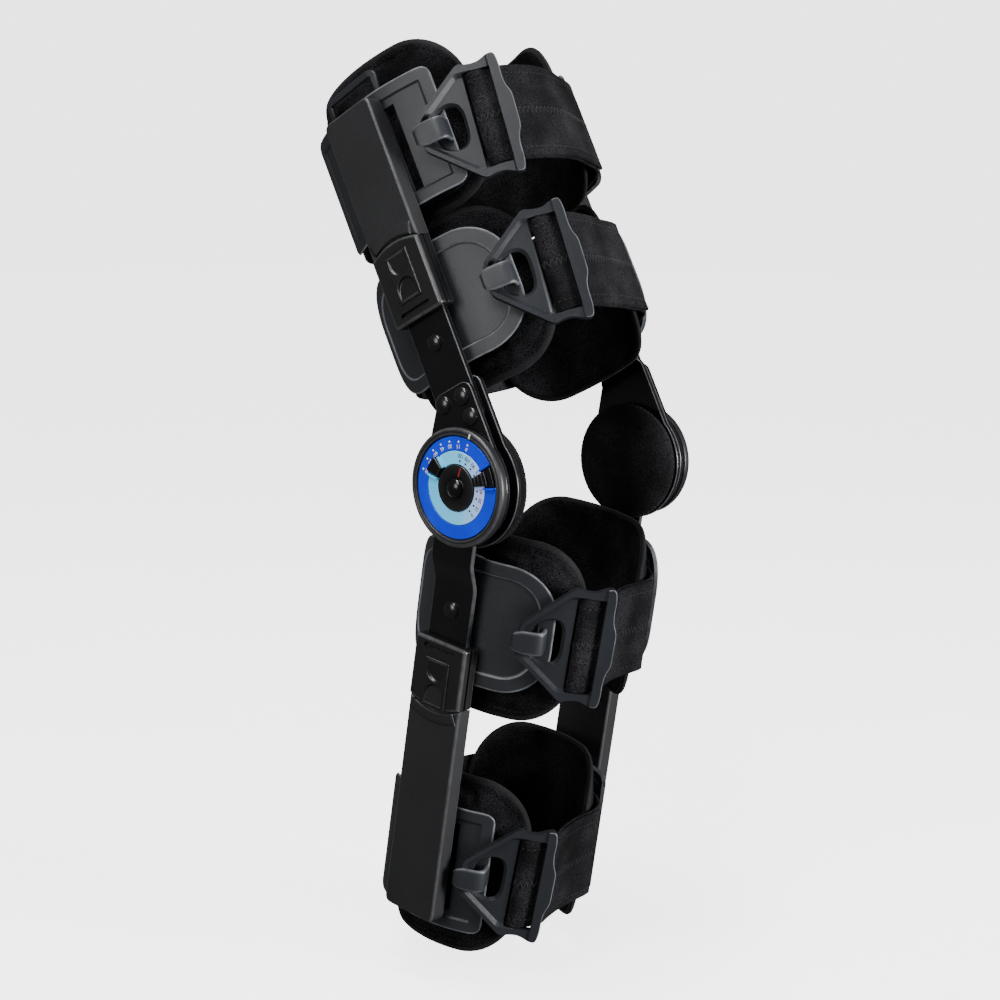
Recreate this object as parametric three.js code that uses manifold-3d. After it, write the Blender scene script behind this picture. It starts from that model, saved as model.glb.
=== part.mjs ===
// A hinged knee brace for a right leg: two telescoping side bars with dial hinges, and four cuffs.
// Millimetres, +Z up. The hinge pins lie on the X axis, -X is the outer (lateral) side of the leg
// and -Y is the front. Each side is drawn with +X pointing out of the leg, then mirrored where needed.
import * as THREE from "three";
import { mergeVertices } from "three/addons/utils/BufferGeometryUtils.js";
import { TessellateModifier } from "three/addons/modifiers/TessellateModifier.js";
import Module from "manifold-3d";

const wasm = await Module();
wasm.setup();

// Pose of the worn brace: how far the bars lean from upright, in degrees
const THIGH_LEAN = -26.9;
const CALF_LEAN = 9.6;

// Clearance between pieces that touch or slide
const GAP = 0.3;
const SLIDE_GAP = 0.4;

// Side bars: distances out from the middle plane, at the thigh; the calf bars are stepped in
const STRUT_BACK = 73.2;
const STRUT_THICK = 3;
const STRUT_WIDTH = 29;
const STRUT_END_RADIUS = 6;
const CALF_STEP = 5.5;
const STEP_NEAR = 41;
const STEP_FAR = 60;
const SLEEVE_BACK = 69.8;
const SLEEVE_FACE = 80.3;
const SLEEVE_WIDTH = 37;
const SLEEVE_EDGE = 1.6;
const SLEEVE_END_WALL = 3;
const SLEEVE_CORNER = 5;
const LOCK_PROUD = 1.3;
const LOCK_ARC = 4;
const LOCK_GROOVE = { depth: 0.9, height: 1.6, out: 75.6 };
const LOCK_SLOT = { from: 3.2, to: 6.2, halfWidth: 11.5, depth: 2 };
const BUTTON = { from: 11, length: 27, width: 17.4, travel: 1.5, thick: 3, proud: 0.6 };
const BUTTON_DISH = { radius: 13, width: 12.4, depth: 1.5, back: 4 };
const RIVET = { radius: 4.2, height: 2.1, shoulder: 0.5, crownRadius: 3, crown: 1.7 };

// The two halves of a bar: distances along the bar from the hinge pin, and the bar's axis ahead of it
const HALVES = {
  thigh: {
    up: 1,
    lean: THIGH_LEAN,
    axis: 14.5,
    step: 0,
    strutStart: 28,
    rivet: 78,
    lockNear: 93,
    lockFar: 137.5,
    strutEnd: 178,
    sleeveEnd: 216.5,
  },
  calf: {
    up: -1,
    lean: CALF_LEAN,
    axis: -3.8,
    step: CALF_STEP,
    strutStart: 0,
    rivet: 72,
    lockNear: 89.5,
    lockFar: 129,
    strutEnd: 183,
    sleeveEnd: 253,
  },
};

// Hinge, drawn round the pin; out distances again
const ARM = { back: 76.5, face: 79.3, radius: 31.5, top: 50.5, front: 30, rear: 1.5 };
const ARM_CORNER = 6;
const ARM_REAR_JOIN = 112;
const ARM_RIVETS = [
  { front: 21.7, up: 43.6 },
  { front: 7.6, up: 44.4 },
  { front: 22.6, up: 31.6 },
];
const BACK_PLATE = { back: 70.1, face: 72.9, spread: 2.4 };
const CALF_DISC_RADIUS = 25;
const PIN_RADIUS = 4;
const HOUSING = { back: 79.6, floor: 82.5, face: 84.6, radius: 32.5, rim: 28.3, edge: 1.3 };
const DIAL = { back: 82.8, face: 84.1 };
const EXTENSION_RING = { inner: 20.3, outer: 27.6, notch: 99, notchWide: 25 };
const FLEXION_RING = { inner: 12.9, outer: 20, notch: -28, notchWide: 32 };
const STOP = { over: 84.4, top: 86.2, slack: 1.2, inset: 0.4, bite: 0.5 };
const EXTENSION_LEVER = { outer: 23.8, halfAngle: 10 };
const FLEXION_LEVER = { outer: 21.5, halfAngle: 13 };
const HUB = { radius: 12.6, back: 82.9, face: 84.8, domeRadius: 5.2, domeTop: 87.6 };
const CONDYLE = { radius: 33.5, face: 69.8, crown: 57, rim: 62.5, edge: 1.8 };

// Layers on the leg, as heights above the skin
const PAD_BASE = 0.4;
const PAD_EDGE = 4.6;
const PAD_FULL = 8.2;
const PAD_RAMP = 24;
const STRAP_THICK = 2.2;
const STRAP_WIDTH = 53.6;
const STRAP_ON_SKIN = 1.5;
const STRAP_ON_PAD = 9.7;
const PLATE_BASE = 12;
const PLATE_FACE = 14.2;
const PLATE_RIM = 15.2;
const REACH_HEIGHT = 10;

// The cuffs: section of the leg (half width, half depth, centre behind the pin), then the extents of
// the pad and the plate along the bar (up) and round the leg (ahead of the outermost point of the leg)
const CUFFS = {
  thigh_top: {
    half: "thigh", width: 55, depth: 66.5, centre: -17, mid: 179, hook: 41, tilt: 5, holds: "sleeve",
    pad: { rear: -78, front: 62, low: 144.5, high: 243, corner: 36 },
    plate: { rear: -50, front: 42, low: 151, high: 221, corner: 6, rim: 7 },
    slots: { rears: [12.5, -26], wide: 6, low: 159, high: 209 },
    loop: { rear: -24, front: 15, high: 234, bar: 4 },
  },
  thigh_low: {
    half: "thigh", width: 54, depth: 63.5, centre: -13, mid: 92.5, hook: 48.5, tilt: 4, holds: "strut",
    pad: { rear: -62, front: 66, low: 47, high: 142.5, corner: 36 },
    plate: { rear: -50, front: 50, low: 61, high: 131, corner: 26, rim: 8 },
    slots: { rears: [] },
  },
  calf_top: {
    half: "calf", width: 49.5, depth: 55, centre: 0, mid: -78, hook: 45, tilt: 1.5, holds: "strut",
    pad: { rear: -64, front: 70, low: -130, high: -27, corner: 38 },
    plate: { rear: -54, front: 49, low: -112, high: -39.5, corner: 26, rim: 8 },
    slots: { rears: [] },
  },
  calf_low: {
    half: "calf", width: 48, depth: 49.5, centre: 7.5, mid: -224, hook: 37.5, tilt: 3, holds: "sleeve",
    pad: { rear: -62, front: 63, low: -277, high: -171, corner: 38 },
    plate: { rear: -38, front: 38, low: -260, high: -186, corner: 6, rim: 7 },
    slots: { rears: [9, -19.5], wide: 10.5, low: -249, high: -196 },
  },
};
const HOOK = { halfWidth: 6.5, stem: 3, tongue: 15, under: 24.2, top: 26.6 };
const BOSS_RADIUS = 7;

// Buckle, drawn flat: "ahead" runs from its apex towards the front of the leg
const BUCKLE = {
  overlap: 11.5,
  tangent: 20,
  height: 16.5,
  halfThick: 1.6,
  tip: { ahead: -5, up: 9.2 },
  shoulder: { ahead: 23, up: 32.8 },
  waist: { ahead: 34, up: 31 },
  flare: { ahead: 41.5, up: 34.2 },
  end: 45.4,
  swell: { ahead: 48.6, up: 9.5 },
  window: { near: 3.5, mid: 13, far: 19, nearUp: 8, midUp: 12, farUp: 7.5 },
  slot: { near: 24.5, far: 40, up: 28 },
  guard: { under: 0.3, top: 4 },
  rib: { from: 2, width: 3, top: 2.8 },
  crossbar: { ahead: 29.6, height: -0.5, radius: 2 },
};
const STRAP_FIXED_END = 358;
const FOLD = { from: 70, to: 270, overHeight: -1.3, underHeight: -4.6, leaveHeight: -6.3 };
const STRAP_RAMP = { before: 18, after: 14, landing: 20, freeEnd: 4 };

// How finely curves are divided
const ARC_STEPS = 2;
const DISC_ARC_STEPS = 6;
const RING_STEP = 36;
const ROUND_STEPS = 15;
const RIVET_STEPS = 7;
const ROD_STEPS = 8;
const HOLE_STEPS = 8;
const WRAP_STEP = 20;
const WRAP_PASSES = 12;
const WRAP_FLATTEN = 0.12;
const STRAP_STEP = 12;
const PAD_COLUMNS = 9;
const PAD_ROWS = 5;
const BEND_STEPS = 6;
const LANDING_STEPS = 5;
const FOLD_STEP = 25;

// Finishes
const FINISHES = {
  sleeve: { color: 0x1b1d20, roughness: 0.62, metalness: 0 },
  lock: { color: 0x111214, roughness: 0.38, metalness: 0 },
  steel: { color: 0x0b0b0c, roughness: 0.3, metalness: 0.6 },
  plate: { color: 0x2b2e33, roughness: 0.5, metalness: 0 },
  fabric: { color: 0x0d0d0e, roughness: 0.95, metalness: 0 },
  housing: { color: 0x0e0e10, roughness: 0.4, metalness: 0 },
  blue: { color: 0x0a49e0, roughness: 0.35, metalness: 0 },
  lightBlue: { color: 0x7cc8f0, roughness: 0.35, metalness: 0 },
};

const radians = THREE.MathUtils.degToRad;
const smooth = THREE.MathUtils.smoothstep;

// Join and cut
function solidOf(geometry) {
  const bare = geometry.index ? geometry.toNonIndexed() : geometry.clone();
  bare.deleteAttribute("normal");
  bare.deleteAttribute("uv");
  const merged = mergeVertices(bare, 1e-4);
  return new wasm.Manifold(
    new wasm.Mesh({
      numProp: 3,
      vertProperties: merged.attributes.position.array,
      triVerts: new Uint32Array(merged.index.array),
    }),
  );
}

function geometryOf(solid) {
  const mesh = solid.getMesh();
  const geometry = new THREE.BufferGeometry();
  geometry.setAttribute("position", new THREE.BufferAttribute(new Float32Array(mesh.vertProperties), 3));
  geometry.setIndex(new THREE.BufferAttribute(new Uint32Array(mesh.triVerts), 1));
  return geometry;
}

function join(...geometries) {
  return geometryOf(geometries.map(solidOf).reduce((whole, piece) => whole.add(piece)));
}

function cut(geometry, ...cutters) {
  return geometryOf(cutters.map(solidOf).reduce((rest, cutter) => rest.subtract(cutter), solidOf(geometry)));
}

// Outlines are drawn in (front, up)
function roundedRect(rear, front, low, high, radius) {
  const outline = new THREE.Shape();
  outline.absarc(front - radius, high - radius, radius, 0, Math.PI / 2);
  outline.absarc(rear + radius, high - radius, radius, Math.PI / 2, Math.PI);
  outline.absarc(rear + radius, low + radius, radius, Math.PI, 1.5 * Math.PI);
  outline.absarc(front - radius, low + radius, radius, 1.5 * Math.PI, 2 * Math.PI);
  outline.closePath();
  return outline;
}

function polygon(corners) {
  return new THREE.Shape(corners.map(([front, up]) => new THREE.Vector2(front, up)));
}

// A plate of that outline between two distances out, with its edges broken by a bevel
function slab(outline, inner, outer, edge = 0, arcSteps = ARC_STEPS) {
  const geometry = new THREE.ExtrudeGeometry(outline, {
    depth: outer - inner - 2 * edge,
    bevelEnabled: edge > 0,
    bevelThickness: edge,
    bevelSize: edge,
    bevelOffset: -edge,
    bevelSegments: 1,
    curveSegments: arcSteps,
  });
  geometry.translate(0, 0, edge);
  const lay = new THREE.Matrix4().set(0, 0, -1, outer, -1, 0, 0, 0, 0, 1, 0, 0, 0, 0, 0, 1);
  return geometry.applyMatrix4(lay);
}

// A box between two distances out
function block(rear, front, low, high, inner, outer) {
  return slab(polygon([[rear, low], [front, low], [front, high], [rear, high]]), inner, outer);
}

// A round piece about the pin, from a profile of [radius, out] pairs
function turned(profile, steps = ROUND_STEPS) {
  const points = profile.map(([radius, out]) => new THREE.Vector2(radius, out));
  return new THREE.LatheGeometry(points, steps).rotateZ(-Math.PI / 2);
}

// A domed rivet head that stands on a plate's outer face
function rivetHead(front, up, face) {
  const foot = face - STRUT_THICK / 2;
  const profile = [
    [0, foot],
    [RIVET.radius, foot],
    [RIVET.radius, face + RIVET.shoulder],
    [RIVET.crownRadius, face + RIVET.crown],
    [0, face + RIVET.height],
  ];
  return turned(profile, RIVET_STEPS).translate(0, -front, up);
}

// A straight round hole through the hinge stack
function pinHole() {
  const profile = [
    [0, CONDYLE.crown],
    [PIN_RADIUS + SLIDE_GAP, CONDYLE.crown],
    [PIN_RADIUS + SLIDE_GAP, HUB.domeTop],
    [0, HUB.domeTop],
  ];
  return turned(profile, HOLE_STEPS);
}

// Side bar pieces; a half's outline coordinates run along its own bar
function alongBar(half, near, far) {
  return half.up > 0 ? [near, far] : [-far, -near];
}

function strutChannel(half, near, far) {
  const reach = STRUT_WIDTH / 2 + SLIDE_GAP;
  const [low, high] = alongBar(half, near, far);
  const inner = STRUT_BACK - half.step - SLIDE_GAP;
  return block(half.axis - reach, half.axis + reach, low, high, inner, inner + STRUT_THICK + 2 * SLIDE_GAP);
}

function sleevePiece(half) {
  const side = SLEEVE_WIDTH / 2;
  const start = half.lockFar - LOCK_ARC + GAP;
  const end = half.sleeveEnd;
  const cornerUp = half.up * (end - SLEEVE_CORNER);
  const outline = new THREE.Shape();
  outline.moveTo(half.axis - side, half.up * start);
  outline.quadraticCurveTo(half.axis, half.up * (start + 2 * LOCK_ARC), half.axis + side, half.up * start);
  outline.lineTo(half.axis + side, cornerUp);
  outline.quadraticCurveTo(half.axis + side, half.up * end, half.axis + side - SLEEVE_CORNER, half.up * end);
  outline.lineTo(half.axis - side + SLEEVE_CORNER, half.up * end);
  outline.quadraticCurveTo(half.axis - side, half.up * end, half.axis - side, cornerUp);
  outline.closePath();
  const shell = slab(outline, SLEEVE_BACK - half.step, SLEEVE_FACE - half.step, SLEEVE_EDGE);
  return cut(shell, strutChannel(half, 0, end - SLEEVE_END_WALL));
}

function buttonOutline(half, grow) {
  const near = half.lockNear + BUTTON.from;
  const [low, high] = alongBar(half, near, near + BUTTON.length);
  const side = BUTTON.width / 2 + grow;
  return roundedRect(half.axis - side, half.axis + side, low - grow, high + grow, 2 + grow);
}

function lockPiece(half) {
  const side = SLEEVE_WIDTH / 2;
  const shoulder = half.lockFar - LOCK_ARC;
  const outline = new THREE.Shape();
  outline.moveTo(half.axis - side, half.up * half.lockNear);
  outline.lineTo(half.axis + side, half.up * half.lockNear);
  outline.lineTo(half.axis + side, half.up * shoulder);
  outline.quadraticCurveTo(
    half.axis,
    half.up * (shoulder + 2 * LOCK_ARC),
    half.axis - side,
    half.up * shoulder,
  );
  outline.closePath();
  const face = SLEEVE_FACE + LOCK_PROUD - half.step;
  const body = slab(outline, SLEEVE_BACK - half.step, face, SLEEVE_EDGE);
  const pocketFloor = face + BUTTON.proud - BUTTON.thick - BUTTON.travel - GAP;
  const pocket = slab(buttonOutline(half, GAP), pocketFloor, face + GAP);
  const [slotLow, slotHigh] = alongBar(
    half,
    half.lockNear + LOCK_SLOT.from,
    half.lockNear + LOCK_SLOT.to,
  );
  const slot = block(
    half.axis - LOCK_SLOT.halfWidth,
    half.axis + LOCK_SLOT.halfWidth,
    slotLow,
    slotHigh,
    face - LOCK_SLOT.depth,
    face + GAP,
  );
  const [low, high] = alongBar(half, half.lockNear - GAP, half.lockFar);
  const grooveLow = LOCK_GROOVE.out - half.step;
  const grooves = [-1, 1].map((edge) => {
    const wall = half.axis + edge * side;
    const bottom = wall - edge * LOCK_GROOVE.depth;
    const sides = [bottom, wall + edge * GAP].sort((a, b) => a - b);
    return block(...sides, low, high, grooveLow, grooveLow + LOCK_GROOVE.height);
  });
  return cut(body, strutChannel(half, half.lockNear - GAP, half.lockFar + GAP), pocket, slot, ...grooves);
}

function buttonPiece(half) {
  const face = SLEEVE_FACE + LOCK_PROUD + BUTTON.proud - half.step;
  const body = slab(buttonOutline(half, 0), face - BUTTON.thick, face);
  const { radius, width, depth, back } = BUTTON_DISH;
  const dish = new THREE.CylinderGeometry(radius, radius, width, ROUND_STEPS);
  const along = half.lockNear + BUTTON.from + BUTTON.length / 2 + back;
  dish.translate(face + radius - depth, -half.axis, half.up * along);
  return cut(body, dish);
}

function thighStrut(half) {
  const side = STRUT_WIDTH / 2;
  const ends = [half.strutStart, half.strutEnd];
  const outline = roundedRect(half.axis - side, half.axis + side, ...ends, STRUT_END_RADIUS);
  const face = STRUT_BACK + STRUT_THICK;
  return join(slab(outline, STRUT_BACK, face), rivetHead(half.axis, half.rivet, face));
}

// The calf strut is stepped in below the hinge: its edge profile, cut to its outline
function calfStrut(half) {
  const side = STRUT_WIDTH / 2;
  const stations = [];
  for (let i = 0; i <= BEND_STEPS; i += 1) {
    const along = THREE.MathUtils.lerp(STEP_NEAR, STEP_FAR, i / BEND_STEPS);
    stations.push({ along, out: STRUT_BACK - half.step * smooth(along, STEP_NEAR, STEP_FAR) });
  }
  const path = [
    { along: -CALF_DISC_RADIUS - 1, out: STRUT_BACK },
    ...stations,
    { along: half.strutEnd, out: STRUT_BACK - half.step },
  ];
  const back = path.map(({ along, out }) => [out, -along]);
  const face = path.map(({ along, out }) => [out + STRUT_THICK, -along]).reverse();
  const spread = 2 * CALF_DISC_RADIUS + 10;
  const edgeOn = polygon([...back, ...face]);
  const profile = new THREE.ExtrudeGeometry(edgeOn, { depth: spread, bevelEnabled: false });
  profile.translate(0, 0, -spread / 2).rotateX(Math.PI / 2);
  const disc = new THREE.Shape().absarc(0, 0, CALF_DISC_RADIUS, 0, 2 * Math.PI);
  const strip = roundedRect(
    half.axis - side,
    half.axis + side,
    -half.strutEnd,
    CALF_DISC_RADIUS / 2,
    STRUT_END_RADIUS,
  );
  const reach = [STRUT_BACK - half.step - 2, STRUT_BACK + STRUT_THICK + 2];
  const outline = join(slab(disc, ...reach, 0, DISC_ARC_STEPS), slab(strip, ...reach));
  const blank = geometryOf(solidOf(profile).intersect(solidOf(outline)));
  const holed = cut(blank, pinHole());
  return join(holed, rivetHead(half.axis, -half.rivet, STRUT_BACK - half.step + STRUT_THICK));
}

// Hinge pieces
function armOutline(spread) {
  const radius = ARM.radius + spread;
  const front = ARM.front + spread;
  const rear = ARM.rear - spread;
  const top = ARM.top + spread;
  const joinFront = Math.acos(front / radius);
  const outline = new THREE.Shape();
  outline.absarc(0, 0, radius, radians(ARM_REAR_JOIN), 2 * Math.PI + joinFront);
  outline.absarc(front - ARM_CORNER, top - ARM_CORNER, ARM_CORNER, 0, Math.PI / 2);
  outline.absarc(rear + ARM_CORNER, top - ARM_CORNER, ARM_CORNER, Math.PI / 2, Math.PI);
  outline.closePath();
  return outline;
}

function hingeArm() {
  const plate = cut(slab(armOutline(0), ARM.back, ARM.face, 0, DISC_ARC_STEPS), pinHole());
  return join(plate, ...ARM_RIVETS.map(({ front, up }) => rivetHead(front, up, ARM.face)));
}

function hingeBack() {
  const outline = armOutline(BACK_PLATE.spread);
  return cut(slab(outline, BACK_PLATE.back, BACK_PLATE.face, 0, DISC_ARC_STEPS), pinHole());
}

function dialHousing() {
  const bore = PIN_RADIUS + SLIDE_GAP;
  return turned([
    [bore, HOUSING.back],
    [HOUSING.radius, HOUSING.back],
    [HOUSING.radius, HOUSING.face - HOUSING.edge],
    [HOUSING.radius - HOUSING.edge, HOUSING.face],
    [HOUSING.rim, HOUSING.face],
    [HOUSING.rim, HOUSING.floor],
    [bore, HOUSING.floor],
    [bore, HOUSING.back],
  ]);
}

// A sector of a ring; angles run from straight up towards the front
function ringSector(inner, outer, from, to) {
  const start = radians(90 - to);
  const end = radians(90 - from);
  const outline = new THREE.Shape();
  outline.absarc(0, 0, outer, start, end, false);
  outline.absarc(0, 0, inner, end, start, true);
  outline.closePath();
  return outline;
}

function sectorSlab(inner, outer, from, to, back, face) {
  const steps = Math.max(1, Math.round((to - from) / RING_STEP));
  const geometry = new THREE.ExtrudeGeometry(ringSector(inner, outer, from, to), {
    depth: face - back,
    bevelEnabled: false,
    curveSegments: steps,
  });
  const lay = new THREE.Matrix4().set(0, 0, -1, face, -1, 0, 0, 0, 0, 1, 0, 0, 0, 0, 0, 1);
  return geometry.applyMatrix4(lay);
}

function dialRing({ inner, outer, notch, notchWide }) {
  return sectorSlab(inner, outer, notch + notchWide / 2, notch + 360 - notchWide / 2, DIAL.back, DIAL.face);
}

// A stop fills its ring's notch and carries a lever that stands over the rings
function stopPiece(ring, lever) {
  const { inner, outer, notch, notchWide } = ring;
  const half = notchWide / 2 - STOP.slack;
  const footRadii = [inner + STOP.inset, outer - STOP.inset];
  const footTurn = [notch - half, notch + half];
  const foot = sectorSlab(...footRadii, ...footTurn, DIAL.back, STOP.over + STOP.bite);
  const leverRadii = [FLEXION_RING.inner + STOP.inset, lever.outer];
  const leverTurn = [notch - lever.halfAngle, notch + lever.halfAngle];
  return join(foot, sectorSlab(...leverRadii, ...leverTurn, STOP.over, STOP.top));
}

function pivotPiece() {
  return turned([
    [0, BACK_PLATE.back + GAP],
    [PIN_RADIUS, BACK_PLATE.back + GAP],
    [PIN_RADIUS, HUB.back],
    [HUB.radius, HUB.back],
    [HUB.radius, HUB.face],
    [HUB.domeRadius, HUB.face],
    [HUB.domeRadius * 0.8, (HUB.face + HUB.domeTop) / 2],
    [0, HUB.domeTop],
  ]);
}

function condylePad() {
  return turned([
    [0, CONDYLE.crown],
    [CONDYLE.radius * 0.6, (3 * CONDYLE.crown + CONDYLE.rim) / 4],
    [CONDYLE.radius - CONDYLE.edge, CONDYLE.rim],
    [CONDYLE.radius, CONDYLE.rim + CONDYLE.edge],
    [CONDYLE.radius, CONDYLE.face - CONDYLE.edge],
    [CONDYLE.radius - CONDYLE.edge, CONDYLE.face],
    [0, CONDYLE.face],
  ]);
}

// Pieces that lie on the leg are drawn flat as (height above the skin, round the leg, up) and wrapped
function reachOf(cuff) {
  return (cuff.width + cuff.depth) / 2 + REACH_HEIGHT;
}

function onLeg(cuff, ahead, height) {
  const angle = ahead / reachOf(cuff);
  return {
    out: (cuff.width + height) * Math.cos(angle),
    y: cuff.centre - (cuff.depth + height) * Math.sin(angle),
  };
}

function wrapOnLeg(geometry, cuff) {
  geometry.scale(1, 1, WRAP_FLATTEN);
  const fine = new TessellateModifier(WRAP_STEP, WRAP_PASSES).modify(geometry);
  fine.scale(1, 1, 1 / WRAP_FLATTEN);
  const place = fine.attributes.position;
  for (let i = 0; i < place.count; i += 1) {
    const { out, y } = onLeg(cuff, -place.getY(i), place.getX(i));
    place.setXYZ(i, out, y, place.getZ(i));
  }
  return fine;
}

// A closed shell on the leg with a rounded outline; heightAt gives its outer height at a grid point
function shellOnLeg(cuff, extents, columns, rows, base, heightAt) {
  const { rear, front, low, high, corner } = extents;
  const outer = [];
  const inner = [];
  columns.forEach((ahead, i) => {
    const past = Math.max(0, rear + corner - ahead, ahead - (front - corner));
    const drop = corner - Math.sqrt(Math.max(0, corner ** 2 - past ** 2));
    rows.forEach((share, j) => {
      const up = THREE.MathUtils.lerp(low + drop, high - drop, share);
      const edge = Math.min(up - low - drop, high - drop - up, ahead - rear, front - ahead);
      const over = onLeg(cuff, ahead, heightAt(edge, i, j));
      const under = onLeg(cuff, ahead, base);
      outer.push(over.out, over.y, up);
      inner.push(under.out, under.y, up);
    });
  });
  const index = [];
  const shift = columns.length * rows.length;
  const quad = (a, b, c, d) => index.push(a, b, c, a, c, d);
  const at = (i, j) => i * rows.length + j;
  const lastColumn = columns.length - 1;
  const lastRow = rows.length - 1;
  for (let i = 0; i < lastColumn; i += 1) {
    for (let j = 0; j < lastRow; j += 1) {
      quad(at(i, j), at(i, j + 1), at(i + 1, j + 1), at(i + 1, j));
      quad(shift + at(i, j), shift + at(i + 1, j), shift + at(i + 1, j + 1), shift + at(i, j + 1));
    }
    quad(at(i, 0), at(i + 1, 0), shift + at(i + 1, 0), shift + at(i, 0));
    quad(at(i, lastRow), shift + at(i, lastRow), shift + at(i + 1, lastRow), at(i + 1, lastRow));
  }
  for (let j = 0; j < lastRow; j += 1) {
    quad(at(0, j), shift + at(0, j), shift + at(0, j + 1), at(0, j + 1));
    quad(at(lastColumn, j), at(lastColumn, j + 1), shift + at(lastColumn, j + 1), shift + at(lastColumn, j));
  }
  const geometry = new THREE.BufferGeometry();
  geometry.setAttribute("position", new THREE.Float32BufferAttribute([...outer, ...inner], 3));
  geometry.setIndex(index);
  return facingOut(geometry);
}

// A pad is thin at its bound edge and thicker inside
function padPiece(cuff) {
  const { rear, front } = cuff.pad;
  const wave = (share) => Math.sin((share - 0.5) * Math.PI);
  const spaced = (count) => Array.from({ length: count }, (_, i) => wave(i / (count - 1)));
  const columns = spaced(PAD_COLUMNS).map((place) => (rear + front) / 2 + ((front - rear) / 2) * place);
  const rows = spaced(PAD_ROWS).map((place) => (place + 1) / 2);
  const heightAt = (edge) => THREE.MathUtils.lerp(PAD_EDGE, PAD_FULL, smooth(edge, 0, PAD_RAMP));
  return shellOnLeg(cuff, cuff.pad, columns, rows, PAD_BASE, heightAt);
}

// A plate is a moulded sheet with a raised border
function plateSheet(cuff) {
  const { rear, front, low, high, corner, rim } = cuff.plate;
  const rounded = corner > rim ? [30, 55].map((turn) => rim + (corner - rim) * Math.sin(radians(turn))) : [];
  const edgeSteps = [0, rim, rim + 1, ...rounded.map((step) => step + 1)];
  const insideFrom = rear + edgeSteps.at(-1);
  const insideTo = front - edgeSteps.at(-1);
  const count = Math.round((insideTo - insideFrom) / WRAP_STEP);
  const stride = (insideTo - insideFrom) / count;
  const inside = Array.from({ length: count - 1 }, (_, i) => insideFrom + stride * (i + 1));
  const columns = [
    ...edgeSteps.map((step) => rear + step),
    ...inside,
    ...edgeSteps.map((step) => front - step).reverse(),
  ];
  const rimShare = rim / (high - low);
  const stepShare = 1 / (high - low);
  const rows = [0, rimShare, rimShare + stepShare, 1 - rimShare - stepShare, 1 - rimShare, 1];
  const onBorder = (place, count) => place < 2 || place > count - 3;
  const heightAt = (edge, i, j) =>
    onBorder(i, columns.length) || onBorder(j, rows.length) ? PLATE_RIM : PLATE_FACE;
  return shellOnLeg(cuff, cuff.plate, columns, rows, PLATE_BASE, heightAt);
}

function platePiece(cuff, hooked) {
  const half = HALVES[cuff.half];
  const { low, high } = cuff.plate;
  const fittings = [];
  if (cuff.loop) {
    const { rear, front, bar } = cuff.loop;
    const layer = [PLATE_BASE, PLATE_FACE];
    const reach = [high - bar, cuff.loop.high];
    const posts = [rear, front - bar].map((edge) => block(edge, edge + bar, ...reach, ...layer));
    const top = block(rear, front, cuff.loop.high - bar, cuff.loop.high, ...layer);
    fittings.push(wrapOnLeg(join(...posts, top), cuff));
  }
  if (hooked) {
    const hookUp = cuff.mid + tiltRise(cuff, BUCKLE.window.near);
    const span = [hookUp - HOOK.halfWidth, hookUp + HOOK.halfWidth];
    const stem = block(cuff.hook - HOOK.stem, cuff.hook, ...span, PLATE_FACE - 1, HOOK.top - 0.5);
    const tongueOutline = roundedRect(cuff.hook - HOOK.tongue, cuff.hook, ...span, 2);
    const tongue = slab(tongueOutline, HOOK.under, HOOK.top, 0, 1);
    fittings.push(wrapOnLeg(join(stem, tongue), cuff));
  }
  const slots = cuff.slots.rears.map((rear) => {
    const { wide, low: slotLow, high: slotHigh } = cuff.slots;
    return wrapOnLeg(block(rear, rear + wide, slotLow, slotHigh, PLATE_BASE - 1, PLATE_RIM + 1), cuff);
  });
  const barBack = (cuff.holds === "sleeve" ? SLEEVE_BACK : STRUT_BACK) - half.step - GAP;
  const slideBack = SLEEVE_BACK - half.step - GAP;
  const bossUp = cuff.holds === "sleeve" ? cuff.mid : half.up * half.rivet;
  const bossProfile = [
    [0, cuff.width + PLATE_BASE + 1],
    [BOSS_RADIUS, cuff.width + PLATE_BASE + 1],
    [BOSS_RADIUS, barBack],
    [0, barBack],
  ];
  const boss = turned(bossProfile, RIVET_STEPS).translate(0, -half.axis, bossUp);
  const path = SLEEVE_WIDTH / 2 + 1;
  const clearance = block(half.axis - path, half.axis + path, low - 40, high + 40, slideBack, slideBack + 20);
  return join(cut(join(plateSheet(cuff), ...fittings), clearance, ...slots), boss);
}

// Turns a closed surface's faces outwards
function facingOut(geometry) {
  const place = geometry.attributes.position;
  const order = geometry.index.array;
  const [a, b, c] = [new THREE.Vector3(), new THREE.Vector3(), new THREE.Vector3()];
  let volume = 0;
  for (let i = 0; i < order.length; i += 3) {
    a.fromBufferAttribute(place, order[i]);
    b.fromBufferAttribute(place, order[i + 1]);
    c.fromBufferAttribute(place, order[i + 2]);
    volume += a.dot(b.cross(c));
  }
  if (volume < 0) {
    order.reverse();
  }
  return geometry;
}

// Buckle: a flat triangular plate with a window for the hook, a slot with a crossbar, and a guard bar
function tiltRise(cuff, ahead) {
  return (BUCKLE.crossbar.ahead - ahead) * Math.sin(radians(cuff.tilt));
}

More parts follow.
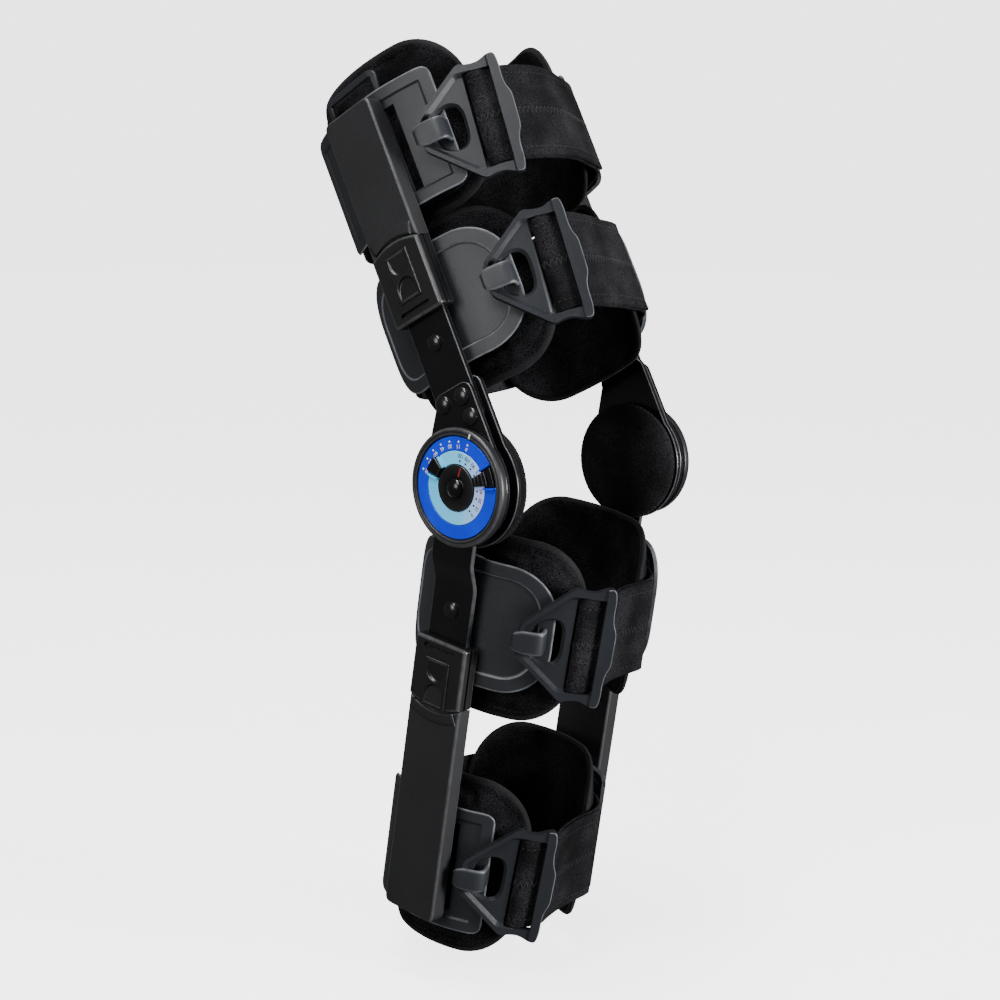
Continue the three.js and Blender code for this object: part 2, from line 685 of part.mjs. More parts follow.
function bucklePiece() {
  const { tip, shoulder, waist, flare, swell, window: hole, slot, guard, rib, crossbar } = BUCKLE;
  const upperEdge = [
    [tip.ahead, tip.up],
    [shoulder.ahead, shoulder.up],
    [waist.ahead, waist.up],
    [flare.ahead, flare.up],
    [BUCKLE.end, flare.up - 1],
    [BUCKLE.end, swell.up + 3],
    [swell.ahead, swell.up],
  ];
  const lowerEdge = upperEdge.map(([ahead, up]) => [ahead, -up]).reverse();
  const body = slab(polygon([...upperEdge, ...lowerEdge]), -BUCKLE.halfThick, BUCKLE.halfThick);
  const ribs = [1, -1].map((side) => {
    const rise = (shoulder.up - tip.up) / (shoulder.ahead - tip.ahead);
    const start = tip.up + rise * (rib.from - tip.ahead);
    const edge = [
      [rib.from, side * start],
      [shoulder.ahead, side * shoulder.up],
      [shoulder.ahead, side * (shoulder.up - 1.4 * rib.width)],
      [rib.from, side * (start - 1.4 * rib.width)],
    ];
    return slab(polygon(edge), 0, rib.top);
  });
  const arms = [1, -1].map((side) => {
    const edge = [
      [shoulder.ahead, side * (slot.up - 0.5)],
      [shoulder.ahead, side * shoulder.up],
      [waist.ahead, side * waist.up],
      [flare.ahead, side * flare.up],
      [flare.ahead, side * (slot.up - 0.5)],
    ];
    return slab(polygon(edge), 0, guard.top - 0.6);
  });
  const guardEdge = upperEdge.slice(3);
  const guardBar = slab(
    polygon([
      [slot.far, flare.up - 2.5],
      ...guardEdge,
      ...guardEdge.map(([ahead, up]) => [ahead, -up]).reverse(),
      [slot.far, 2.5 - flare.up],
    ]),
    guard.under,
    guard.top,
  );
  const upperWindow = [
    [hole.near, hole.nearUp],
    [hole.mid, hole.midUp],
    [hole.far, hole.farUp],
  ];
  const lowerWindow = upperWindow.map(([ahead, up]) => [ahead, -up]).reverse();
  const window = slab(polygon([...upperWindow, ...lowerWindow]), -5, 5);
  const strapWay = block(slot.near, slot.far, -slot.up, slot.up, -5, 5);
  const underGuard = block(slot.far - 1, swell.ahead + 1, -slot.up, slot.up, -5, guard.under);
  const frame = cut(join(body, ...ribs, ...arms, guardBar), window, strapWay, underGuard);
  const rod = new THREE.CylinderGeometry(crossbar.radius, crossbar.radius, 2 * slot.up + 3, ROD_STEPS);
  rod.rotateX(Math.PI / 2).translate(crossbar.height, -crossbar.ahead, 0);
  return join(frame, rod).translate(0, BUCKLE.tangent, 0);
}

// Where the buckle sits: its apex is held by the hook and its middle lies along the leg
function buckleSeat(cuff) {
  const apex = cuff.hook - BUCKLE.overlap;
  const ahead = apex + BUCKLE.tangent;
  const angle = ahead / reachOf(cuff);
  const { out, y } = onLeg(cuff, ahead, BUCKLE.height);
  return { angle, out, y };
}

// A buckle point (ahead, height) in the leg's section, seen from above, on the outer side
function onBuckle(cuff, ahead, height) {
  const { angle, out, y } = buckleSeat(cuff);
  const along = ahead - BUCKLE.tangent;
  return {
    x: -(out + height * Math.cos(angle) - along * Math.sin(angle)),
    y: y - height * Math.sin(angle) - along * Math.cos(angle),
  };
}

// Strap: a band along one path in the leg's section, from its free end over the buckle's crossbar,
// across the front, under the inner plate, round the back and under the outer plate
function padEdges(cuff) {
  const toDegrees = (ahead) => THREE.MathUtils.radToDeg(ahead / reachOf(cuff));
  return {
    innerFront: 180 - toDegrees(cuff.pad.front),
    innerRear: 180 - toDegrees(cuff.pad.rear),
    outerRear: 360 + toDegrees(cuff.pad.rear),
  };
}

function strapHeight(cuff, degrees) {
  const { before, after } = STRAP_RAMP;
  const { innerFront, innerRear, outerRear } = padEdges(cuff);
  const onInnerPad =
    smooth(degrees, innerFront - before, innerFront + after) -
    smooth(degrees, innerRear - after, innerRear + before);
  const onOuterPad = smooth(degrees, outerRear - before, outerRear + after);
  return THREE.MathUtils.lerp(STRAP_ON_SKIN, STRAP_ON_PAD, onInnerPad + onOuterPad);
}

function strapPath(cuff) {
  const around = (degrees, lift) => {
    const angle = radians(degrees);
    const height = strapHeight(cuff, degrees) + lift;
    return {
      x: -(cuff.width + height) * Math.cos(angle),
      y: cuff.centre - (cuff.depth + height) * Math.sin(angle),
    };
  };
  const landingAngle = padEdges(cuff).innerFront - STRAP_RAMP.landing;
  const freeEnd = padEdges(cuff).innerFront + STRAP_RAMP.freeEnd;
  const layer = STRAP_THICK + GAP;
  const landing = (lift) => {
    const leave = onBuckle(cuff, BUCKLE.end, lift + FOLD.leaveHeight);
    const land = around(landingAngle, lift);
    const ahead = around(landingAngle - 1, lift);
    const reach = Math.hypot(land.x - leave.x, land.y - leave.y) / 2;
    const step = Math.hypot(land.x - ahead.x, land.y - ahead.y);
    const bend = {
      x: land.x + ((ahead.x - land.x) * reach) / step,
      y: land.y + ((ahead.y - land.y) * reach) / step,
    };
    const curve = new THREE.QuadraticBezierCurve(
      new THREE.Vector2(leave.x, leave.y),
      new THREE.Vector2(bend.x, bend.y),
      new THREE.Vector2(land.x, land.y),
    );
    return curve.getPoints(LANDING_STEPS).map(({ x, y }, i) => ({ x, y, skew: 1 - i / LANDING_STEPS }));
  };
  const path = [];
  for (let degrees = freeEnd; degrees > landingAngle + STRAP_STEP / 2; degrees -= STRAP_STEP) {
    path.push({ ...around(degrees, layer), skew: 0 });
  }
  path.push(...landing(layer).reverse());
  path.push({ ...onBuckle(cuff, BUCKLE.slot.far, FOLD.overHeight), skew: 1 });
  const { crossbar } = BUCKLE;
  const foldRadius = crossbar.radius + GAP + STRAP_THICK / 2;
  for (let turn = FOLD.from; turn <= FOLD.to; turn += FOLD_STEP) {
    const angle = radians(turn);
    const ahead = crossbar.ahead + foldRadius * Math.cos(angle);
    const height = crossbar.height + foldRadius * Math.sin(angle);
    path.push({ ...onBuckle(cuff, ahead, height), skew: 1 });
  }
  path.push({ ...onBuckle(cuff, BUCKLE.slot.far, FOLD.underHeight), skew: 1 });
  path.push(...landing(0));
  for (let degrees = landingAngle + STRAP_STEP; degrees <= STRAP_FIXED_END; degrees += STRAP_STEP) {
    path.push({ ...around(degrees, 0), skew: 0 });
  }
  return path;
}

function strapPiece(cuff) {
  const path = strapPath(cuff);
  const place = [];
  const index = [];
  const shear = Math.tan(radians(cuff.tilt));
  path.forEach((point, i) => {
    const before = path[Math.max(0, i - 1)];
    const after = path[Math.min(path.length - 1, i + 1)];
    const length = Math.hypot(after.x - before.x, after.y - before.y);
    const along = { x: (after.x - before.x) / length, y: (after.y - before.y) / length };
    const front = buckleSeat(cuff).angle;
    for (const side of [-1, 1]) {
      for (const edge of [-1, 1]) {
        const up = (edge * STRAP_WIDTH) / 2;
        const slide = point.skew * shear * up;
        place.push(
          point.x - (side * along.y * STRAP_THICK) / 2 + slide * Math.sin(front),
          point.y + (side * along.x * STRAP_THICK) / 2 - slide * Math.cos(front),
          cuff.mid + up,
        );
      }
    }
    if (i > 0) {
      const [a, b] = [4 * (i - 1), 4 * i];
      for (const [p, q] of [[0, 1], [1, 3], [3, 2], [2, 0]]) {
        index.push(a + p, a + q, b + q, a + p, b + q, b + p);
      }
    }
  });
  const last = 4 * (path.length - 1);
  index.push(0, 2, 3, 0, 3, 1);
  index.push(last, last + 1, last + 3, last, last + 3, last + 2);
  const geometry = new THREE.BufferGeometry();
  geometry.setAttribute("position", new THREE.Float32BufferAttribute(place, 3));
  geometry.setIndex(index);
  return facingOut(geometry);
}

// Assembly
const brace = new THREE.Group();

function add(group, name, geometry, finish) {
  const mesh = new THREE.Mesh(geometry, new THREE.MeshStandardMaterial(FINISHES[finish]));
  mesh.name = name;
  group.add(mesh);
  return mesh;
}

const legs = {};
for (const [name, half] of Object.entries(HALVES)) {
  const leg = new THREE.Group();
  leg.rotation.x = radians(half.lean);
  brace.add(leg);
  legs[name] = { leg };
  for (const side of ["lateral", "medial"]) {
    const bar = new THREE.Group();
    bar.scale.x = side === "lateral" ? -1 : 1;
    leg.add(bar);
    legs[name][side] = bar;
    add(bar, `${side}_${name}_sleeve`, sleevePiece(half), "sleeve");
    add(bar, `${side}_${name}_lock`, lockPiece(half), "lock");
    add(bar, `${side}_${name}_button`, buttonPiece(half), "lock");
  }
}

for (const side of ["lateral", "medial"]) {
  const thighBar = legs.thigh[side];
  add(thighBar, `${side}_thigh_strut`, thighStrut(HALVES.thigh), "steel");
  add(thighBar, `${side}_hinge_arm`, hingeArm(), "steel");
  add(thighBar, `${side}_hinge_back`, hingeBack(), "steel");
  add(thighBar, `${side}_dial_housing`, dialHousing(), "housing");
  add(thighBar, `${side}_extension_dial`, dialRing(EXTENSION_RING), "blue");
  add(thighBar, `${side}_extension_stop`, stopPiece(EXTENSION_RING, EXTENSION_LEVER), "housing");
  add(thighBar, `${side}_flexion_dial`, dialRing(FLEXION_RING), "lightBlue");
  add(thighBar, `${side}_flexion_stop`, stopPiece(FLEXION_RING, FLEXION_LEVER), "housing");
  add(thighBar, `${side}_pivot`, pivotPiece(), "steel");
  add(thighBar, `${side}_condyle_pad`, condylePad(), "fabric");
  add(legs.calf[side], `${side}_calf_strut`, calfStrut(HALVES.calf), "steel");
}

for (const [name, cuff] of Object.entries(CUFFS)) {
  const { leg, lateral, medial } = legs[cuff.half];
  add(lateral, `lateral_${name}_plate`, platePiece(cuff, true), "plate");
  add(medial, `medial_${name}_plate`, platePiece(cuff, false), "plate");
  add(lateral, `lateral_${name}_pad`, padPiece(cuff), "fabric");
  add(medial, `medial_${name}_pad`, padPiece(cuff), "fabric");
  add(leg, `${name}_strap`, strapPiece(cuff), "fabric");
  const buckle = add(lateral, `${name}_buckle`, bucklePiece(), "plate");
  const seat = buckleSeat(cuff);
  buckle.rotation.order = "ZXY";
  buckle.rotation.set(radians(cuff.tilt), 0, -seat.angle);
  buckle.position.set(seat.out, seat.y, cuff.mid + tiltRise(cuff, BUCKLE.tangent));
}

export default brace;
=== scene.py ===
import bmesh
import bpy
import numpy as np
from mathutils import Matrix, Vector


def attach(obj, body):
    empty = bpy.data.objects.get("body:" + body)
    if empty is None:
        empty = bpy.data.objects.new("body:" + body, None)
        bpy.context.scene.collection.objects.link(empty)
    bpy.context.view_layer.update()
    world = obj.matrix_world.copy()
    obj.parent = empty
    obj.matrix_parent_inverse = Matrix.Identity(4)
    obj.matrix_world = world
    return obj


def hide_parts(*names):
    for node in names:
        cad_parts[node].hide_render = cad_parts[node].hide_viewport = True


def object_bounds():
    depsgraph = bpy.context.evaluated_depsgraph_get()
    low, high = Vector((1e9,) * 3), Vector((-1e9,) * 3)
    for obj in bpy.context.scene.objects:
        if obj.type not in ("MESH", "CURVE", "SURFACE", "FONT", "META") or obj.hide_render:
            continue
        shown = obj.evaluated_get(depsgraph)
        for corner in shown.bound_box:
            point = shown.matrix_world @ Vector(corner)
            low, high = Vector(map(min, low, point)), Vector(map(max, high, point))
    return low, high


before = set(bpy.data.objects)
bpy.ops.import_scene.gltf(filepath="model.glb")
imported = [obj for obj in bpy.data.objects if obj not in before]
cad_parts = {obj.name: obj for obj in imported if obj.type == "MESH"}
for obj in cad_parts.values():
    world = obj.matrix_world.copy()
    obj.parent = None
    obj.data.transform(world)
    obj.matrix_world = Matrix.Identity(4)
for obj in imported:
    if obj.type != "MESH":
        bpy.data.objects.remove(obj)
cad_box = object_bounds()


# View, floor and light. The brace is seen from its outer front, a little above the knee, over a plain
# pale floor that glows softly. Soft lamps stand in front, above and to the outer side, in a light room.
VIEW_AZIMUTH, VIEW_ELEVATION, VIEW_ROLL = np.radians([-49.454, 8.483, 0.104])
VIEW_DISTANCE = 1.19629
VIEW_ASIDE, VIEW_RISE = 0.03122, 0.01573
LENS = 76.453
FLOOR_DROP = 0.012
FLOOR_HALF = 8.0
FLOOR_GLOW = 2.9
ROOM_GLOW, ROOM_SEEN, ROOM_MIRRORED = 0.42, 3.2, 0.1

flat_turn = np.array([np.sin(VIEW_AZIMUTH), -np.cos(VIEW_AZIMUTH), 0.0])
towards = flat_turn * np.cos(VIEW_ELEVATION) + [0, 0, np.sin(VIEW_ELEVATION)]
level = np.array([np.cos(VIEW_AZIMUTH), np.sin(VIEW_AZIMUTH), 0.0])
upright = np.cross(towards, level)
right = level * np.cos(VIEW_ROLL) + upright * np.sin(VIEW_ROLL)
above = upright * np.cos(VIEW_ROLL) - level * np.sin(VIEW_ROLL)
eye = towards * VIEW_DISTANCE - right * VIEW_ASIDE - above * VIEW_RISE

camera = bpy.data.objects.new("view_camera", bpy.data.cameras.new("view_camera"))
camera.data.lens = LENS
camera.data.sensor_width = 36
camera.data.clip_end = 50
camera.matrix_world = Matrix(np.column_stack([right, above, towards, eye]).tolist() + [[0, 0, 0, 1]])
bpy.context.collection.objects.link(camera)
bpy.context.scene.camera = camera


def node(tree, kind, sockets=None, **settings):
    """Adds a shader node: settings are its properties, sockets its inputs by name or number."""
    made = tree.nodes.new(kind)
    for key, value in settings.items():
        setattr(made, key, value)
    for key, value in (sockets or {}).items():
        if isinstance(value, bpy.types.NodeSocket):
            tree.links.new(value, made.inputs[key])
        else:
            made.inputs[key].default_value = value
    return made


def surface(name, **sockets):
    """A material with one Principled shader; returns it, its node tree and the shader."""
    made = bpy.data.materials.new(name)
    made.use_nodes = True
    shader = made.node_tree.nodes["Principled BSDF"]
    for key, value in sockets.items():
        shader.inputs[key.replace("_", " ")].default_value = value
    return made, made.node_tree, shader


def ramp(tree, factor, stops):
    """A colour ramp read at factor: stops are (place, colour) pairs."""
    made = node(tree, "ShaderNodeValToRGB", {0: factor})
    scale = made.color_ramp
    while len(scale.elements) < len(stops):
        scale.elements.new(0.5)
    for element, (place, colour) in zip(scale.elements, stops):
        element.position = place
        element.color = (*colour, 1)
    return made.outputs["Color"]


def shared(name, inputs, outputs):
    """An empty shader group with named value sockets; returns the group, its in and out nodes."""
    tree = bpy.data.node_groups.new(name, "ShaderNodeTree")
    for label, default in inputs:
        socket = tree.interface.new_socket(label, in_out="INPUT", socket_type="NodeSocketFloat")
        socket.default_value = default
    for label in outputs:
        tree.interface.new_socket(label, in_out="OUTPUT", socket_type="NodeSocketFloat")
    return tree, node(tree, "NodeGroupInput"), node(tree, "NodeGroupOutput")


def noise(tree, place, scale, detail):
    """Fractal noise at a place, from 0 to 1."""
    return node(tree, "ShaderNodeTexNoise", {"Vector": place, "Scale": scale, "Detail": detail}).outputs[0]


# Grain: a fine height and a broad shade, both from noise on the piece's own coordinates
grain, grain_in, grain_out = shared("grain", [("Fine", 2600.0), ("Broad", 28.0)], ["Height", "Shade"])
grain_place = node(grain, "ShaderNodeTexCoord").outputs["Object"]
grain.links.new(noise(grain, grain_place, grain_in.outputs["Fine"], 3.0), grain_out.inputs["Height"])
grain.links.new(noise(grain, grain_place, grain_in.outputs["Broad"], 5.0), grain_out.inputs["Shade"])
GRAIN_STROKE = 0.0002


def bumped(tree, shader, height, depth, stroke):
    """Gives a shader the normal of a height, at a depth from 0 to 1 and a stroke in metres."""
    bump = node(tree, "ShaderNodeBump", {"Height": height, "Strength": depth, "Distance": stroke})
    tree.links.new(bump.outputs[0], shader.inputs["Normal"])


def grain_on(tree, shader, fine, broad, depth):
    """Gives a shader the grain's bump and returns the grain's broad shade."""
    group = node(tree, "ShaderNodeGroup", {"Fine": fine, "Broad": broad}, node_tree=grain)
    bumped(tree, shader, group.outputs["Height"], depth, GRAIN_STROKE)
    return group.outputs["Shade"]


def grained(tree, shader, fine, broad, depth, stops):
    """Gives a shader the grain's bump and a base colour that follows its broad shade."""
    colour = ramp(tree, grain_on(tree, shader, fine, broad, depth), stops)
    tree.links.new(colour, shader.inputs["Base Color"])
    return colour


floor_paint, floor_tree, floor_shader = surface("pale_floor", Roughness=0.9, Emission_Strength=FLOOR_GLOW)
floor_shader.inputs["Emission Color"].default_value = (1, 1, 1, 1)
grained(floor_tree, floor_shader, 900.0, 6.0, 0.04, [(0.35, (0.86, 0.86, 0.86)), (0.65, (0.9, 0.9, 0.9))])
floor_mesh = bpy.data.meshes.new("studio_floor")
floor_z = float(cad_box[0][2]) - FLOOR_DROP
floor_corners = np.array([[-1, -1, 0], [1, -1, 0], [1, 1, 0], [-1, 1, 0]]) * FLOOR_HALF + [0, 0, floor_z]
floor_mesh.from_pydata(floor_corners.tolist(), [], [(0, 1, 2, 3)])
floor_mesh.materials.append(floor_paint)
floor = bpy.data.objects.new("studio_floor", floor_mesh)
floor.visible_glossy = floor.visible_diffuse = False
bpy.context.collection.objects.link(floor)


def lamp(name, place, size, power):
    """A square soft lamp of that size at that place, turned to the knee."""
    data = bpy.data.lights.new(name, "AREA")
    data.size = size
    data.energy = power
    made = bpy.data.objects.new(name, data)
    away = np.array(place) / np.linalg.norm(place)
    aside = np.cross([0, 0, 1], away)
    aside /= np.linalg.norm(aside)
    made.matrix_world = Matrix(
        np.column_stack([aside, np.cross(away, aside), away, place]).tolist() + [[0, 0, 0, 1]]
    )
    bpy.context.collection.objects.link(made)
    return made


lamps = [
    lamp("front_lamp", (0.45, -1.75, 0.05), 0.6, 78),
    lamp("high_lamp", (-0.9, -0.25, 1.1), 0.6, 12),
    lamp("side_lamp", (-1.75, 0.15, 0.4), 0.8, 12),
    lamp("top_lamp", (-0.25, 0.1, 1.8), 0.5, 27),
]
room = bpy.data.worlds.new("light_room")
room.use_nodes = True
room_tree = room.node_tree
room_glow = room_tree.nodes["Background"]
room_glow.inputs["Color"].default_value = (1, 1, 1, 1)
room_ray = node(room_tree, "ShaderNodeLightPath").outputs
room_lit = ROOM_GLOW
for ray, strength in (("Is Camera Ray", ROOM_SEEN), ("Is Glossy Ray", ROOM_MIRRORED)):
    room_lit = node(room_tree, "ShaderNodeMix", {0: room_ray[ray], 2: room_lit, 3: strength}).outputs[0]
room_tree.links.new(room_lit, room_glow.inputs["Strength"])
bpy.context.scene.world = room


# Side bars. Flat steel strips, pressed and coated gloss black, that slide in the sleeves; each carries
# one domed rivet for its cuff, and the calf bars are cranked in towards the leg below the hinge.
SIDES = {"lateral": -1, "medial": 1}
BARS = {
    "thigh": dict(up=1, lean=-26.9, axis=14.5, step=0.0, rivet=78, lock=(93, 137.5), strut=(28, 178),
                  end=216.5),
    "calf": dict(up=-1, lean=9.6, axis=-3.8, step=5.5, rivet=72, lock=(89.5, 129), strut=(0, 183), end=253),
}
STRUT_BACK, STRUT_THICK, STRUT_WIDTH, STRUT_CORNER = 73.2, 3.0, 29.0, 6.0
CRANK = (41, 60)
EYE_RADIUS, EYE_BORE, EYE_EDGE = 25.0, 4.3, 0.5
RIVET_RADIUS, RIVET_HEIGHT = 5.2, 2.4
# A small share of the steel's lighter edge colour over each rivet's whole dome: a faint painted highlight on
# it
RIVET_SHINE = 0.04
GAP, STEEL_EDGE = 0.3, 0.6


def on_bar(half, side):
    """Bar coordinates in mm (out from the middle, ahead of the pin, up the bar) to metres in the frame:
    out is mirrored on the outer side, then all is turned about the hinge axis by the half's lean."""
    lean = np.radians(BARS[half]["lean"])

    def place(out, ahead, up):
        x, y, z = np.broadcast_arrays(np.asarray(out, float) * SIDES[side], -np.asarray(ahead, float), up)
        turned_y = y * np.cos(lean) - z * np.sin(lean)
        turned_z = y * np.sin(lean) + z * np.cos(lean)
        return np.stack([x, turned_y, turned_z], axis=-1) / 1000

    return place


def step_up(distance, at, width):
    """A soft step from 0 to 1 over a width, starting at a distance."""
    share = np.clip((distance - at) / width, 0, 1)
    return share * share * (3 - 2 * share)


def full_turn(steps):
    """Angles once round a circle in even steps, without the last."""
    return np.linspace(0, 2 * np.pi, steps, endpoint=False)


def unit(rows):
    """Rows of vectors, each brought to length one."""
    return rows / np.linalg.norm(rows, axis=1, keepdims=True)


def arc(centre, radius, start, end, steps):
    """Points on a circle: centre plus radius times the cosine and sine of angles from start to end."""
    turn = np.radians(np.linspace(start, end, steps))
    return np.stack([centre[0] + radius * np.cos(turn), centre[1] + radius * np.sin(turn)], axis=1)


def rounded_rect(rear, front, low, high, radius, sides=8, steps=9):
    """Four straight sides and four quarter rounds, from the middle of the front side and up: point i and
    point i from the end mirror each other across the middle."""
    share = (np.arange(sides) + 0.5) / sides
    radius = min(radius, (front - rear) / 2 - 0.01, (high - low) / 2 - 0.01)
    rear_in, front_in, top_in = rear + radius, front - radius, high - radius
    middle = (low + high) / 2
    across = front_in + (rear_in - front_in) * share
    rise = middle + (top_in - middle) * share
    upper = np.concatenate([
        np.stack([np.full(sides, front), rise], 1),
        arc((front_in, top_in), radius, 0, 90, steps),
        np.stack([across, np.full(sides, high)], 1),
        arc((rear_in, top_in), radius, 90, 180, steps),
        np.stack([np.full(sides, rear), rise[::-1]], 1),
    ])
    lower = upper[::-1] * [1, -1] + [0, 2 * middle]
    return np.concatenate([upper, lower])


def set_in(loop, distance):
    """A closed outline moved in by a distance: each point goes along its two edges' mean normal."""
    edge = np.roll(loop, -1, 0) - loop
    edge /= np.maximum(np.linalg.norm(edge, axis=1, keepdims=True), 1e-9)
    inward = np.stack([-edge[:, 1], edge[:, 0]], 1)
    before = np.roll(inward, 1, 0)
    reach = np.maximum(1 + (inward * before).sum(1, keepdims=True), 0.4)
    turn = np.sign(np.sum(loop[:, 0] * np.roll(loop[:, 1], -1) - loop[:, 1] * np.roll(loop[:, 0], -1)))
    return loop + turn * distance * (inward + before) / reach


def grid_faces(rows, columns, round_rows=False, round_columns=False):
    """Quads between neighbouring points of a grid, joined round where the grid closes on itself."""
    i = np.arange(rows if round_rows else rows - 1)[:, None]
    j = np.arange(columns if round_columns else columns - 1)[None, :]
    corners = [(i, j), (i, j + 1), (i + 1, j + 1), (i + 1, j)]
    quads = [(a % rows) * columns + b % columns for a, b in corners]
    return np.stack(np.broadcast_arrays(*quads), axis=-1).reshape(-1, 4).tolist()


def tube_faces(rows, columns, closed=False):
    """Quads round a tube of rows that each close on themselves: a closed tube's last row joins its first,
    and any other tube gets two flat ends."""
    ends = [list(range(columns)), list(range((rows - 1) * columns, rows * columns))]
    return grid_faces(rows, columns, closed, True) + ([] if closed else ends)


def moulded(loop, back, face, edge, place, steps=4):
    """A slab: the outline is carried from back to face through quarter rounds of radius edge, moved in by
    edge(1 - sin) as it rises by edge(1 - cos), and closed with flat ends."""
    turn = np.radians(np.linspace(0, 90, steps + 1))
    inset = np.concatenate([edge * (1 - np.sin(turn)), edge * (1 - np.sin(turn[::-1]))])
    out = np.concatenate([back + edge * (1 - np.cos(turn)), face - edge * (1 - np.cos(turn[::-1]))])
    # The edges' mask for wear and painted highlight, strongest half way round each quarter round
    wear_and_highlight = np.concatenate([np.sin(2 * turn), np.sin(2 * turn[::-1])])
    rows = np.stack([set_in(loop, distance) for distance in inset])
    points = place(out[:, None], rows[..., 0], rows[..., 1])
    count, size = rows.shape[:2]
    return points.reshape(-1, 3), tube_faces(count, size), np.repeat(wear_and_highlight, size)


def turned(profile, centre, place, steps=64, wear_and_highlight=None, ring=False):
    """A round piece: a profile of (radius, out) carried round a centre on an axis that points out; a
    ring's profile closes on itself, and any other gets flat ends."""
    radius, out = np.array(profile, float).T
    turn = full_turn(steps)
    ahead = centre[0] + radius[:, None] * np.cos(turn)
    up = centre[1] + radius[:, None] * np.sin(turn)
    points = place(out[:, None], ahead, up)
    # An optional mask per profile row, for edge wear and painted highlight
    mask = np.zeros(len(profile)) if wear_and_highlight is None else np.array(wear_and_highlight, float)
    return points.reshape(-1, 3), tube_faces(len(profile), steps, ring), np.repeat(mask, steps)


def swept(path, section, place, closed=False):
    """A bar: a section of (across, height) points carried along a path of (ahead, up) points, across
    being measured along the path's left normal."""
    along = unit(np.roll(path, -1, 0) - np.roll(path, 1, 0) if closed else np.gradient(path, axis=0))
    left = np.stack([-along[:, 1], along[:, 0]], 1)
    flat = path[:, None, :] + left[:, None, :] * section[None, :, :1]
    height = section[None, :, 1] * np.ones((len(path), 1))
    points = place(height, flat[..., 0], flat[..., 1])
    rows, columns = len(path), len(section)
    return points.reshape(-1, 3), tube_faces(rows, columns, closed), np.zeros(rows * columns)


def joined(*shapes):
    """One shape of several: their points one after another, their faces numbered on."""
    starts = np.cumsum([0] + [len(points) for points, _, _ in shapes])
    faces = []
    for (_, some, _), start in zip(shapes, starts):
        faces += [[index + int(start) for index in face] for face in some]
    return np.concatenate([s[0] for s in shapes]), faces, np.concatenate([s[2] for s in shapes])


def mesh_of(name, shape):
    """A mesh of a shape, with doubled points merged, faces turned outwards and the edge mask, for wear and
    painted highlight, kept as edge.
    """
    points, faces, wear_and_highlight = shape
    mesh = bpy.data.meshes.new(name)
    mesh.from_pydata(np.asarray(points).tolist(), [], faces)
    mesh.attributes.new("edge", "FLOAT", "POINT").data.foreach_set("value", np.asarray(wear_and_highlight, np.float32))
    work = bmesh.new()
    work.from_mesh(mesh)
    bmesh.ops.remove_doubles(work, verts=work.verts, dist=2e-6)
    bmesh.ops.dissolve_degenerate(work, edges=work.edges, dist=1e-7)
    bmesh.ops.recalc_face_normals(work, faces=work.faces)
    work.to_mesh(mesh)
    work.free()
    return mesh


def piece(name, shape, finish, body, slot, *nodes, bevel=0.0):
    """A finished object of a shape (or a ready mesh): smooth, with its material, carried by a body and
    standing in for CAD nodes; a bevel in mm rounds its sharp edges."""
    mesh = shape if isinstance(shape, bpy.types.Mesh) else mesh_of(name, shape)
    mesh.name = name
    mesh.materials.clear()
    mesh.materials.append(finish)
    mesh.polygons.foreach_set("use_smooth", np.ones(len(mesh.polygons), bool))
    made = bpy.data.objects.new(name, mesh)
    bpy.context.collection.objects.link(made)
    if bevel:
        rounding = made.modifiers.new("rounded_edges", "BEVEL")
        rounding.width = bevel / 1000
        rounding.segments = 2
        rounding.limit_method = "ANGLE"
        rounding.angle_limit = np.radians(38)
    weighted = made.modifiers.new("even_faces", "WEIGHTED_NORMAL")
    weighted.weight = 60
    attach(made, body)
    if nodes:
        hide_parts(*nodes)
    return made


def rivet(ahead, up, face, place):
    """A domed head: a quarter ellipse of the rivet's radius and height turned about its axis."""
    turn = np.radians(np.linspace(0, 90, 9))
    dome = np.stack([RIVET_RADIUS * np.sin(turn), face + RIVET_HEIGHT * np.cos(turn)], 1)
    foot = np.array([[RIVET_RADIUS, face - 0.6], [0, face - 0.6]])
    return turned(np.concatenate([dome, foot]), (ahead, up), place, 40, [RIVET_SHINE] * len(dome) + [0, 0])


def combined(tree, operation, first, second, **settings):
    """Two values put together by one operation of arithmetic."""
    return node(tree, "ShaderNodeMath", {0: first, 1: second}, operation=operation, **settings).outputs[0]


# Edge wear and painted highlight: the rounded edges' own mask, broken up by noise; the lighter colour it
# mixes in stands partly for wear and partly for a painted highlight along the edges
wear_and_highlight, wear_and_highlight_in, wear_and_highlight_out = shared("edge_wear_and_highlight", [("Amount", 1.0), ("Breaks", 160.0)], ["Mask"])
wear_and_highlight_place = node(wear_and_highlight, "ShaderNodeTexCoord").outputs["Object"]
wear_and_highlight_noise = noise(wear_and_highlight, wear_and_highlight_place, wear_and_highlight_in.outputs["Breaks"], 4.0)
wear_and_highlight_edge = node(wear_and_highlight, "ShaderNodeAttribute", attribute_name="edge").outputs["Fac"]
wear_and_highlight_share = combined(wear_and_highlight, "MULTIPLY", wear_and_highlight_noise, wear_and_highlight_in.outputs["Amount"])
wear_and_highlight_mask = combined(wear_and_highlight, "MULTIPLY", wear_and_highlight_edge, wear_and_highlight_share, use_clamp=True)
wear_and_highlight.links.new(wear_and_highlight_mask, wear_and_highlight_out.inputs["Mask"])


def worn(tree, shader, colour, bare_and_highlight, amount):
    """Mixes a bare colour into a base colour where the edge mask is: partly wear, partly a painted highlight
    along the edges.
    """
    group = node(tree, "ShaderNodeGroup", {"Amount": amount}, node_tree=wear_and_highlight)
    sockets = {0: group.outputs["Mask"], 6: colour, 7: (*bare_and_highlight, 1)}
    mixed = node(tree, "ShaderNodeMix", sockets, data_type="RGBA")
    tree.links.new(mixed.outputs[2], shader.inputs["Base Color"])


